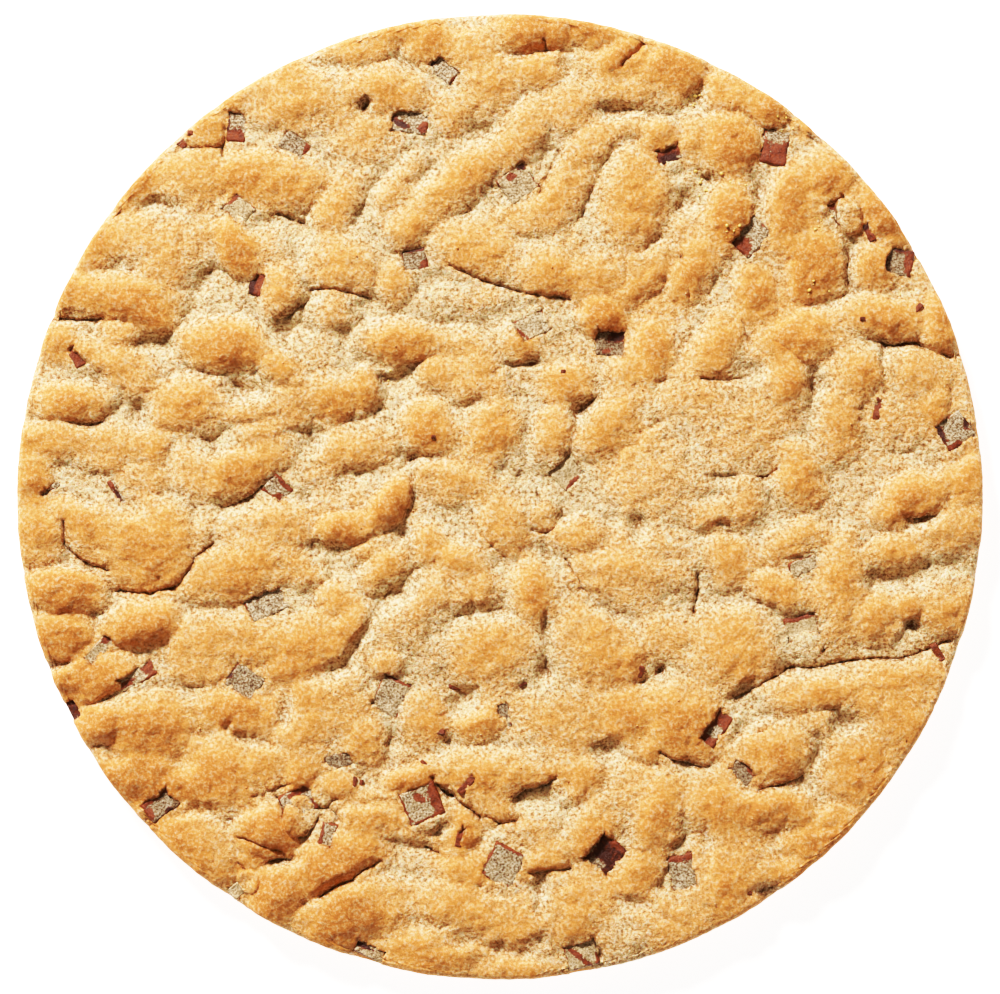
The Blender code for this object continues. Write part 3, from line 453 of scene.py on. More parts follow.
# Where the dough is browner than its height says, and where paler, by eye and by comparing renders
TOASTS_AND_SHADE = tuple(ToastAndShade(*row) for row in (
    # The first seven rows darken the upper and left rim, which faces the light: painted shade
    (125, 158, 26, 0.35), (78, 216, 22, 0.3), (204, 88, 24, 0.25), (44, 290, 20, 0.25), (290, 48, 22, 0.2),
    (26, 440, 16, 0.2), (24, 560, 16, 0.2), (104, 662, 30, 0.25), (155, 745, 42, 0.35), (155, 570, 35, 0.2),
    (259, 844, 28, 0.35), (331, 880, 40, 0.3), (352, 937, 32, 0.35), (135, 310, 35, 0.3),
    (75, 290, 25, 0.2), (223, 357, 30, 0.2), (238, 186, 30, 0.25), (430, 445, 25, 0.28), (543, 36, 32, 0.3),
    (714, 83, 28, 0.3), (900, 217, 32, 0.25), (890, 320, 25, 0.2), (823, 254, 35, 0.15),
    (693, 740, 30, 0.15), (725, 818, 35, 0.15), (631, 890, 30, 0.2), (420, 355, 26, 0.28),
    (330, 415, 22, 0.28), (880, 760, 40, 0.12), (140, 180, 30, 0.25), (70, 590, 30, 0.2),
    (590, 285, 28, 0.2), (250, 925, 25, 0.2), (610, 450, 25, 0.1), (480, 960, 30, 0.15),
    (248, 129, 20, -0.3), (331, 78, 24, -0.25), (404, 150, 30, -0.32), (300, 238, 25, -0.28),
    (373, 243, 26, -0.28), (445, 285, 30, -0.28), (518, 321, 30, -0.32), (347, 362, 26, -0.3),
    (248, 399, 26, -0.25), (564, 481, 24, -0.3), (663, 549, 32, -0.22), (725, 487, 40, -0.25),
    (673, 435, 35, -0.2), (264, 518, 25, -0.2), (274, 611, 20, -0.25), (399, 621, 30, -0.22),
    (347, 683, 26, -0.22), (549, 683, 32, -0.32), (792, 626, 30, -0.3), (745, 714, 25, -0.2),
    (549, 802, 26, -0.22), (523, 838, 26, -0.27), (385, 405, 22, -0.25), (285, 330, 20, -0.25),
    (600, 500, 30, -0.2), (700, 590, 28, -0.22), (880, 420, 22, -0.2), (560, 140, 30, -0.15),
    (70, 630, 60, 0.28), (150, 790, 60, 0.34), (225, 745, 55, 0.28), (300, 690, 50, 0.2),
    (300, 860, 50, 0.18), (460, 850, 45, 0.1), (620, 700, 45, 0.3), (710, 780, 60, 0.15),
    (780, 860, 55, 0.18), (785, 300, 45, 0.3), (640, 310, 40, 0.14), (140, 560, 50, 0.16),
    (300, 205, 40, 0.1), (540, 470, 35, -0.14), (945, 600, 40, -0.1), (625, 940, 40, -0.12),
    (860, 220, 35, 0.1), (780, 210, 40, 0.1), (845, 213, 14, -0.85), (806, 645, 16, -0.2),
    (700, 260, 110, 0.09), (860, 200, 45, 0.08), (660, 340, 60, 0.06), (300, 640, 60, 0.12),
    (220, 690, 60, 0.1), (620, 700, 50, 0.1), (330, 820, 100, 0.1), (460, 850, 50, 0.12),
    (470, 700, 50, 0.08), (660, 800, 100, 0.07), (220, 140, 45, 0.1), (780, 140, 40, 0.1),
    (260, 300, 90, -0.1), (530, 465, 40, -0.14), (410, 655, 45, -0.12), (630, 942, 30, -0.2),
    (950, 570, 45, -0.12), (840, 290, 40, 0.1), (610, 345, 40, 0.08), (150, 620, 45, 0.08),
    (460, 860, 40, 0.1), (620, 60, 40, 0.12), (860, 215, 30, 0.1), (710, 610, 40, 0.08),
    (300, 300, 60, -0.12), (460, 300, 60, -0.08), (540, 490, 45, -0.18), (420, 645, 50, -0.16),
    (630, 945, 35, -0.3), (950, 580, 45, -0.16), (395, 705, 40, -0.12), (705, 465, 50, -0.1),
    (400, 370, 50, -0.08), (620, 385, 35, 0.06), (780, 300, 40, 0.06),
))

# Where shiny yellow crumbs of sugar lie, with how far they scatter, in photo pixels
SUGAR_SPOTS = (
    (783, 129, 8), (700, 100, 7), (695, 190, 9), (710, 178, 8), (733, 235, 6), (750, 190, 7),
    (820, 225, 6), (690, 95, 6), (812, 300, 10), (905, 300, 8), (705, 180, 6), (395, 372, 6),
)

# How much light in the scene shows as how much light in the picture, from black to white
RESPONSE = ((0.0, 0.0), (0.07, 0.057), (0.16, 0.178), (0.31, 0.39), (0.75, 0.77), (1.1, 0.9), (1.75, 1.0))


def linear(hex_colour: str) -> tuple[float, float, float, float]:
    """An sRGB colour as linear red, green, blue and alpha.

    Args:
        hex_colour: Six hex digits, such as "e5b673".

    Returns:
        The linear colour, with an alpha of 1.
    """
    parts = [int(hex_colour[at:at + 2], 16) / 255 for at in (0, 2, 4)]
    curved = [part / 12.92 if part <= 0.04045 else ((part + 0.055) / 1.055) ** 2.4 for part in parts]
    return (curved[0], curved[1], curved[2], 1.0)


def set_inputs(node: bpy.types.Node, values: dict[Any, Any]) -> None:
    """Sets a node's unlinked inputs, by their names or numbers."""
    for name, value in values.items():
        node.inputs[name].default_value = value


def add_node(tree: bpy.types.NodeTree, kind: str, links: dict[Any, Any] | None = None,
             inputs: dict[Any, Any] | None = None, **settings: Any) -> bpy.types.Node:
    """Adds a shader node with its settings, input values and links.

    Args:
        tree: The node tree to add to.
        kind: The node's type, without the words that every shader node's type begins with.
        links: The output socket that feeds each input, by the input's name or number.
        inputs: The value of each unlinked input, by its name or number.
        **settings: The node's own properties.

    Returns:
        The new node.
    """
    made = tree.nodes.new("ShaderNode" + kind)
    for name, value in settings.items():
        setattr(made, name, value)
    set_inputs(made, inputs or {})
    for name, socket in (links or {}).items():
        tree.links.new(socket, made.inputs[name])
    return made


def new_material(name: str) -> tuple[bpy.types.Material, bpy.types.NodeTree, bpy.types.Node]:
    """A new material, its node tree and its shader."""
    made = bpy.data.materials.new(name)
    made.use_nodes = True
    return made, made.node_tree, made.node_tree.nodes["Principled BSDF"]


def smooth_step(low: float, high: float, value: np.ndarray) -> np.ndarray:
    """0 below low, 1 above high, and a smooth rise between."""
    share = np.clip((value - low) / (high - low), 0, 1)
    return share * share * (3 - 2 * share)


def scatter(column: np.ndarray, row: np.ndarray, seed: int) -> np.ndarray:
    """A steady random number from 0 to 1 for each cell of a lattice.

    Args:
        column: Whole-number columns.
        row: Whole-number rows.
        seed: Which of many such patterns.

    Returns:
        One number for each cell.
    """
    mixed = column.astype(np.int64) * COLUMN_PRIME + row.astype(np.int64) * ROW_PRIME + seed * SEED_PRIME
    mixed = ((mixed & LOW_31_BITS) ^ ((mixed & LOW_31_BITS) >> 13)) * MIXING_PRIME & LOW_31_BITS
    return ((mixed ^ (mixed >> 16)) & LOW_16_BITS) / (LOW_16_BITS + 1)


def ease(share: np.ndarray) -> np.ndarray:
    """A fifth-power rise from 0 to 1 that starts and ends level."""
    return share ** 3 * (share * (share * 6 - 15) + 10)


def wave_noise(x: np.ndarray, y: np.ndarray, wave: float, seed: int) -> np.ndarray:
    """Smooth noise from about -1 to 1.

    Args:
        x: Places across, in the unit of wave.
        y: Places along.
        wave: The size of its swells.
        seed: Which of many such patterns.

    Returns:
        The noise at each place.
    """
    x, y = x / wave, y / wave
    column, row = np.floor(x), np.floor(y)
    across, along = x - column, y - row
    ease_x, ease_y = ease(across), ease(along)

    def corner(right: int, up: int) -> np.ndarray:
        """What the slope at one corner of each cell gives."""
        angle = scatter(column + right, row + up, seed) * 2 * np.pi
        return np.cos(angle) * (across - right) + np.sin(angle) * (along - up)

    low = corner(0, 0) * (1 - ease_x) + corner(1, 0) * ease_x
    high = corner(0, 1) * (1 - ease_x) + corner(1, 1) * ease_x
    return (low * (1 - ease_y) + high * ease_y) * NOISE_SWING


def swells(x: np.ndarray, y: np.ndarray, parts: Sequence[Swell], start: Any = 0.0,
           seed: int = 0) -> np.ndarray:
    """Smooth noise of several sizes, added up.

    Args:
        x: Places across, in the unit of each part's wave.
        y: Places along.
        parts: The sizes of noise.
        start: What they are added to.
        seed: What is added to each part's seed.

    Returns:
        The sum at each place.
    """
    total = start
    for part in parts:
        total = total + part.height * wave_noise(x, y, part.wave, part.seed + seed)
    return total


def puffs(x: np.ndarray, y: np.ndarray, wave: float, seed: int, melt: float = 7.0) -> np.ndarray:
    """Rounded puffs with creases between them: about 1 at a puff's middle and 0 in a crease.

    Args:
        x: Places across, in the unit of wave.
        y: Places along.
        wave: How wide a puff is.
        seed: Which of many such patterns.
        melt: How crisp the creases are: less melts the puffs together.

    Returns:
        The puffs' height at each place.
    """
    x, y = x / wave, y / wave
    column, row = np.floor(x), np.floor(y)
    near = np.zeros(x.shape)
    spare = 1 - 2 * CELL_MARGIN
    for right in (-1, 0, 1):
        for up in (-1, 0, 1):
            middle_x = column + right + CELL_MARGIN + spare * scatter(column + right, row + up, seed)
            middle_y = row + up + CELL_MARGIN + spare * scatter(column + right, row + up, seed + SEED_STEP)
            near += np.exp(-melt * ((x - middle_x) ** 2 + (y - middle_y) ** 2))
    return 1 + np.log(near + 1e-6) / melt


def turned(x: np.ndarray, y: np.ndarray, item: Any) -> tuple[np.ndarray, np.ndarray]:
    """Photo pixels as places along and across an item that has a middle and a turn.

    Args:
        x: Pixel columns.
        y: Pixel rows, counted down.
        item: What has x, y and turn.

    Returns:
        How far each pixel lies along the item, and how far across it.
    """
    cosine, sine = math.cos(math.radians(item.turn)), math.sin(math.radians(item.turn))
    right, up = x - item.x, item.y - y
    return right * cosine + up * sine, up * cosine - right * sine


def soften(grid: np.ndarray, spread: float) -> np.ndarray:
    """A blurred copy of a grid.

    Args:
        grid: The grid.
        spread: The blur's standard deviation, in cells.

    Returns:
        The blurred grid.
    """
    pad = int(3 * spread) + 1
    padded = np.pad(grid, pad, mode="edge")
    rows = np.fft.fftfreq(padded.shape[0])[:, None]
    columns = np.fft.rfftfreq(padded.shape[1])[None, :]
    gauss = np.exp(-2 * (math.pi * spread) ** 2 * (rows ** 2 + columns ** 2))
    blurred = np.fft.irfft2(np.fft.rfft2(padded) * gauss, s=padded.shape)
    return blurred[pad:-pad, pad:-pad]


@dataclass(frozen=True)
class PhotoFrame:
    """Where the cookie lies in the photograph, and how its pixels map to metres.

    Args:
        width_m: The cookie's width in metres.
        centre_x: The pixel column of its middle.
        centre_y: The pixel row of its middle.
        diameter: The cookie's width in pixels.
        image_width: The photograph's width in pixels.
    """

    width_m: float
    centre_x: float = 500
    centre_y: float = 497
    diameter: float = 966
    image_width: int = 1000

    @property
    def pixel(self) -> float:
        """The size of a pixel, in metres."""
        return self.width_m / self.diameter

    def pixels(self, x: np.ndarray, y: np.ndarray) -> tuple[np.ndarray, np.ndarray]:
        """The pixel column and row of places in metres."""
        return self.centre_x + x / self.pixel, self.centre_y - y / self.pixel

    def place(self, x: float, y: float) -> tuple[float, float]:
        """The place in metres of a pixel."""
        return (x - self.centre_x) * self.pixel, (self.centre_y - y) * self.pixel


@dataclass(frozen=True)
class OvenColour:
    """How the oven colours the dough, with painted shade on the upper and left rim: 0 is pale, 1 is toasted.

    Args:
        base: How brown level dough is.
        proud: How much each millimetre adds that a place stands over the dough round it.
        patch: How much the browning drifts from place to place.
        toast_and_shade: How much a row of the table of browner and paler places adds, painted shade on the
            rim included.
        rim: How much the outer rim adds.
        most: The most that is kept.
        near: The blur of a lump's own height, in pixels.
        far: The blur of the dough round it, in pixels.
        rim_start: Where the rim begins, as a share of the radius.
        patches: The sizes of the drifting patches, in millimetres.
    """

    base: float = 0.42
    proud: float = 0.24
    patch: float = 0.15
    toast_and_shade: float = 0.85
    rim: float = 0.08
    most: float = 1.3
    near: float = 3
    far: float = 26
    rim_start: float = 0.80
    patches: tuple[Swell, ...] = (Swell(1.0, 22, 131), Swell(0.6, 9, 132))


@dataclass
class Relief:
    """The height of the dough's top over a grid of the photograph's pixels.

    Args:
        photo: The photograph's frame.
        chunk_tops: The height of each chunk's top at its middle, in millimetres.
        rim: Radius of the slab's rounded rim, in metres.
        valley: Height of the valleys between lumps, in millimetres.
        spread: How far past its outline a lump reaches.
        blend: How softly lumps melt together, in millimetres.
        rise: How much higher the lumps stand than their table says.
        dome: The power that shapes a lump: 1 is a parabola, less is flatter with steeper flanks.
        warp: How far outlines wander, in millimetres.
        crack: How much deeper creases are than their table says.
        collar: How far a chunk's edge stands out of the dough at most, in millimetres.
        collar_fall: How fast the dough falls away from a chunk's edge, in millimetres a pixel.
        collar_fade: How far from a chunk the collar reaches, in pixels.
        lap: How far dough laps over a chunk's edge, in pixels.
        lap_spread: How far past its outline a lap reaches.
        lap_edge: From where to where on its dome a lap comes to cover what is under it.
        wall: How far a pocket's wall runs out, in pixels.
        wall_end: From where to where inside a chunk's outline its pocket may open, in pixels.
        pocket: How deep a pocket lies under its chunk's top, in millimetres.
        ring: How far from a chunk the dough is measured that it meets, near and far, in pixels.
        lift_fade: How far from a chunk the dough is brought to it, in pixels.
        most_lift: How far a chunk may rise or sink from its solid's place, in millimetres.
        hollow_spread: How far past its outline a hollow reaches.
        hollow_gain: How much deeper hollows are than their table says.
        hollow_power: The power that shapes a hollow.
        puff_sizes: The puffs: how high they stand, how wide they are, and their patterns.
        pucker: The swells between puffs, in millimetres.
        pucker_shift: How far puffs are shifted, along and across.
        outline: The swells that outlines wander by.
        ragged: The swells of a pocket's edge: heights in pixels, waves in millimetres.
        tongue: How far the dough round a chunk rises over it and falls short of it.
        crease_wander: How much of the outlines' wandering creases share.
        crease_sway: How far a crease sways besides, in pixels, along and across.
        crease_even: How deep a crease is where its depth doesn't vary.
        crease_depth: How its depth varies.
        crease_limits: The least and the most of its depth, as shares.
        shoulder: How deep the dip beside a crease is, as a share of its depth.
        shoulder_spread: How many times wider that dip is.
        slope_blur: The blur of the relief whose slopes are read, in pixels.
        cavity_blur: The two blurs whose difference is how deep a place lies, for the painted shade in
            creases, in pixels.
        cavity_least: How much of it doesn't count yet, in millimetres.
        cavity_most: The most of it that counts.
        oven: How the dough is coloured.
    """

    photo: PhotoFrame
    chunk_tops: Sequence[float]
    rim: float = 0.0026
    valley: float = 9.2
    spread: float = 1.45
    blend: float = 0.7
    rise: float = 1.42
    dome: float = 1.05
    warp: float = 0.75
    crack: float = 1.5
    collar: float = 0.15
    collar_fall: float = 0.075
    collar_fade: float = 14
    lap: float = 1.6
    lap_spread: float = 1.15
    lap_edge: tuple[float, float] = (0.05, 0.35)
    wall: float = 1.4
    wall_end: tuple[float, float] = (-0.2, 1.2)
    pocket: float = 2.4
    ring: tuple[float, float] = (2, 9)
    lift_fade: float = 16
    most_lift: float = 2.2
    hollow_spread: float = 1.7
    hollow_gain: float = 1.15
    hollow_power: float = 1.5
    puff_sizes: tuple[Swell, ...] = (Swell(0.8, 7.5, 31), Swell(0.75, 3.4, 33), Swell(0.36, 1.9, 34))
    pucker: tuple[Swell, ...] = (Swell(0.4, 5, 35), Swell(0.2, 1.9, 41), Swell(0.7, 25, 61))
    pucker_shift: tuple[Swell, Swell] = (Swell(0.7, 3, 71), Swell(0.7, 3, 72))
    outline: tuple[Swell, ...] = (Swell(1.0, 10, 0), Swell(0.6, 4.5, 1), Swell(0.4, 1.9, 2))
    ragged: tuple[Swell, ...] = (Swell(2.6, 3.4, 101), Swell(1.7, 1.3, 102))
    tongue: Swell = Swell(0.5, 2.6, 103)
    crease_wander: float = 0.5
    crease_sway: tuple[Swell, Swell] = (Swell(1.3, 1.5, 93), Swell(1.3, 1.5, 94))
    crease_even: float = 0.75
    crease_depth: tuple[Swell, ...] = (Swell(0.5, 3.5, 91), Swell(0.3, 1.6, 92))
    crease_limits: tuple[float, float] = (0.15, 1.3)
    shoulder: float = 0.35
    shoulder_spread: float = 3
    slope_blur: float = 1.6
    cavity_blur: tuple[float, float] = (6, 0.8)
    cavity_least: float = 0.25
    cavity_most: float = 1.2
    oven: OvenColour = OvenColour()
    grid: np.ndarray = field(init=False)
    browning: np.ndarray = field(init=False)
    cavity: np.ndarray = field(init=False)
    lifts: list[float] = field(init=False)
    slope_x: np.ndarray = field(init=False)
    slope_y: np.ndarray = field(init=False)

    def __post_init__(self) -> None:
        """Works out the grid."""
        side = self.photo.image_width
        self.columns, self.rows = np.meshgrid(np.arange(side, dtype=float), np.arange(side, dtype=float))
        scale = self.photo.pixel / MM
        self.across, self.along = self.columns * scale, self.rows * scale
        self.wander_x = self._wander(11)
        self.wander_y = self._wander(21)
        heights = self.valley + self._lumps() + self._puckers()
        heights = self._sink_hollows(heights)
        self.open_dough = heights
        heights = self._cut_creases(self._meet_chunks(heights))
        self.grid = self._open_pockets(heights)
        self._read_slopes()
        self._brown()

    def _wander(self, seed: int) -> np.ndarray:
        """How far each place is read from beside itself, in pixels, so that outlines aren't clean ovals."""
        return self.warp * swells(self.across, self.along, self.outline, seed=seed) / (self.photo.pixel / MM)

    def _window(self, x: float, y: float, reach: float) -> tuple[slice, slice]:
        """The part of the grid that lies within reach of a pixel."""
        side = self.columns.shape[0]
        top, bottom = max(0, int(y - reach)), min(side, int(y + reach) + 1)
        left, right = max(0, int(x - reach)), min(side, int(x + reach) + 1)
        return slice(top, bottom), slice(left, right)

    def _oval(self, lump: Lump, window: tuple[slice, slice], grow: float) -> np.ndarray:
        """A lump's dome in its window: 1 at its middle, 0 outside its outline."""
        columns = self.columns[window] + self.wander_x[window]
        rows = self.rows[window] + self.wander_y[window]
        along, across = turned(columns, rows, lump)
        inside = 1 - (along / lump.half_length / grow) ** 2 - (across / lump.half_width / grow) ** 2
        return np.clip(inside, 0, 1)

    def _lumps(self) -> np.ndarray:
        """The lumps, each melted into its neighbours."""
        melted = np.ones(self.columns.shape)
        for lump in LUMPS:
            longest = max(lump.half_length, lump.half_width)
            window = self._window(lump.x, lump.y, self.spread * longest + OVAL_MARGIN)
            rise = self.rise * lump.rise * self._oval(lump, window, self.spread) ** self.dome
            melted[window] += np.expm1(rise / self.blend)
        return self.blend * np.log(melted)

    def _puckers(self) -> np.ndarray:
        """Puffs and wrinkles that cover every lump, in millimetres."""
        scale = self.photo.pixel / MM
        x, y = self.across + self.wander_x * scale, self.along + self.wander_y * scale
        shift_x, shift_y = (swells(self.across, self.along, [shift]) for shift in self.pucker_shift)
        broad, small, fine = self.puff_sizes
        height = broad.height * puffs(x + shift_x, y + shift_y, broad.wave, broad.seed)
        height += small.height * puffs(x + shift_x, y + shift_y, small.wave, small.seed)
        height += fine.height * puffs(x + shift_y, y + shift_x, fine.wave, fine.seed)
        return swells(self.across, self.along, self.pucker, start=height)

    def _cut_creases(self, heights: np.ndarray) -> np.ndarray:
        """Sinks every crease as a narrow groove of uneven depth."""
        cut = heights.copy()
        for crease in CREASES:
            middle_x = sum(point[0] for point in crease.path) / len(crease.path)
            middle_y = sum(point[1] for point in crease.path) / len(crease.path)
            reach = max(math.hypot(px - middle_x, py - middle_y) for px, py in crease.path)
            window = self._window(middle_x, middle_y, reach + CREASE_MARGIN)
            across, along = self.across[window], self.along[window]
            columns = self.columns[window] + self.crease_wander * self.wander_x[window]
            columns += swells(across, along, self.crease_sway[:1])
            rows = self.rows[window] + self.crease_wander * self.wander_y[window]
            rows += swells(across, along, self.crease_sway[1:])
            nearest = self._off_path(columns, rows, crease.path)
            uneven = swells(across, along, self.crease_depth, start=self.crease_even)
            uneven = np.clip(uneven, *self.crease_limits)
            cut[window] -= self.crack * crease.depth * uneven * np.exp(-(nearest / crease.half_width) ** 2)
            beside = np.exp(-(nearest / crease.half_width / self.shoulder_spread) ** 2)
            cut[window] -= self.shoulder * crease.depth * beside
        return cut

    def _off_path(self, columns: np.ndarray, rows: np.ndarray,
                  path: Sequence[tuple[float, float]]) -> np.ndarray:
        """How far each place lies from a path, in pixels."""
        nearest = np.full(columns.shape, np.inf)
        for (start_x, start_y), (end_x, end_y) in zip(path, path[1:]):
            run_x, run_y = end_x - start_x, end_y - start_y
            share = (columns - start_x) * run_x + (rows - start_y) * run_y
            share = np.clip(share / (run_x ** 2 + run_y ** 2), 0, 1)
            off_x, off_y = columns - start_x - share * run_x, rows - start_y - share * run_y
            nearest = np.minimum(nearest, np.hypot(off_x, off_y))
        return nearest

    def _sink_hollows(self, heights: np.ndarray) -> np.ndarray:
        """Sinks the dough at each hollow."""
        changed = heights.copy()
        for hollow in HOLLOWS:
            longest = max(hollow.half_length, hollow.half_width)
            window = self._window(hollow.x, hollow.y, 2 * longest + OVAL_MARGIN)
            share = self._oval(hollow, window, self.hollow_spread)
            changed[window] += self.hollow_gain * hollow.rise * share ** self.hollow_power
        return changed

    def _inside(self, item: Any, window: tuple[slice, slice]) -> np.ndarray:
        """How far each place lies inside a block's outline, in pixels; negative outside it."""
        along, across = turned(self.columns[window], self.rows[window], item)
        to_end = np.abs(along) - item.length / 2
        to_side = np.abs(across) - item.width / 2
        outside = np.hypot(np.clip(to_end, 0, None), np.clip(to_side, 0, None))
        return -(outside + np.minimum(np.maximum(to_end, to_side), 0))

    def _ragged(self, window: tuple[slice, slice]) -> np.ndarray:
        """How far the dough's edge wanders over a chunk, in pixels."""
        return swells(self.across[window], self.along[window], self.ragged)

    def _meet_chunks(self, heights: np.ndarray) -> np.ndarray:
        """Lifts or sinks each chunk to sit in the dough, and brings the dough the rest of the way."""
        changed = heights.copy()
        self.lifts = []
        near, far = self.ring
        for chunk, top in zip(CHUNKS, self.chunk_tops):
            window = self._window(chunk.x, chunk.y, CHUNK_REACH)
            inside = self._inside(chunk, window) + self._ragged(window)
            ring = (inside < -near) & (inside > -far)
            dough = changed[window][ring].mean()
            self.lifts.append(float(np.clip(dough - chunk.sunk - top, -self.most_lift, self.most_lift)))
            gap = top + self.lifts[-1] + chunk.sunk - dough
            away = np.clip(-inside, 0, None)
            changed[window] += gap * np.exp(-(away / self.lift_fade) ** 2)
            tongues = swells(self.across[window], self.along[window], [self.tongue])
            collar = top + self.lifts[-1] - self.collar + tongues - self.collar_fall * away
            low = np.clip(collar - changed[window], 0, None) * np.exp(-(away / self.collar_fade) ** 2)
            changed[window] += low
        return changed

    def _open_pockets(self, heights: np.ndarray) -> np.ndarray:
        """Sinks the dough under each chunk, then lays the laps over them."""
        changed = heights.copy()
        for chunk, top, lift in zip(CHUNKS, self.chunk_tops, self.lifts):
            window = self._window(chunk.x, chunk.y, LAP_REACH)
            inside = self._inside(chunk, window)
            share = smooth_step(-self.wall / 2, self.wall / 2, inside - self.lap + self._ragged(window))
            share *= smooth_step(*self.wall_end, inside)
            floor = top + lift - self.pocket
            changed[window] = changed[window] * (1 - share) + np.minimum(changed[window], floor) * share
        for lap in LAPS:
            window = self._window(lap.x, lap.y, LAP_REACH)
            raised = self.open_dough[window] + lap.rise
            share = smooth_step(*self.lap_edge, self._oval(lap, window, self.lap_spread))
            changed[window] = changed[window] * (1 - share) + np.maximum(changed[window], raised) * share
        return changed

    def _read_slopes(self) -> None:
        """The slope of the softened relief, to the right and up the photograph, at most 1."""
        soft = soften(self.grid, self.slope_blur)
        down, right = np.gradient(soft, self.photo.pixel / MM)
        self.slope_x, self.slope_y = np.clip(right, -1, 1), np.clip(-down, -1, 1)

    def _brown(self) -> None:
        """How brown each place is: the oven browns the tops of lumps and the rim most, the valleys least,
        and painted shade darkens the upper and left rim.
        """
        oven = self.oven
        proud = soften(self.open_dough, oven.near) - soften(self.open_dough, oven.far)
        patches = swells(self.across, self.along, oven.patches)
        toasted = np.zeros(self.columns.shape)
        # Browner and paler places; on the upper and left rim these paint shade
        for toast_and_shade in TOASTS_AND_SHADE:
            away = np.hypot(self.columns + self.wander_x - toast_and_shade.x, self.rows + self.wander_y - toast_and_shade.y)
            toasted += toast_and_shade.change * np.exp(-(away / toast_and_shade.reach) ** 2)
        off_middle = np.hypot(self.columns - self.photo.centre_x, self.rows - self.photo.centre_y)
        rim = smooth_step(oven.rim_start, 1.0, off_middle / (self.photo.diameter / 2))
        browning = oven.base + oven.proud * proud + oven.patch * patches
        browning = browning + oven.toast_and_shade * toasted + oven.rim * rim
        self.browning = np.clip(browning, 0, oven.most)
        # How deep each place lies, which the dough's material paints as shade
        broad, fine = (soften(self.grid, blur) for blur in self.cavity_blur)
        self.cavity = np.clip(broad - fine - self.cavity_least, 0, self.cavity_most)

    def read(self, grid: np.ndarray, x: np.ndarray, y: np.ndarray) -> np.ndarray:
        """A grid's value at places in metres.

        Args:
            grid: One of the relief's grids.
            x: Places across, in metres.
            y: Places along, in metres.

        Returns:
            The value at each place.
        """
        column, row = self.photo.pixels(x, y)
        column = np.clip(column, 0, grid.shape[1] - 1.001)
        row = np.clip(row, 0, grid.shape[0] - 1.001)
        left, top = np.floor(column).astype(int), np.floor(row).astype(int)
        right, down = column - left, row - top
        upper = grid[top, left] * (1 - right) + grid[top, left + 1] * right
        lower = grid[top + 1, left] * (1 - right) + grid[top + 1, left + 1] * right
        return upper * (1 - down) + lower * down

    def height(self, x: float, y: float) -> float:
        """The height of the top over one place, down the rounded rim too, all in metres."""
        off = math.hypot(x, y)
        border = self.photo.width_m / 2 - self.rim
        inward = min(1.0, border / max(off, self.rim))
        top = self.read(self.grid, np.array([x * inward]), np.array([y * inward]))[0] * MM
        past = min(max(off - border, 0.0), self.rim)
        return float(top) - self.rim + math.sqrt(self.rim ** 2 - past ** 2)


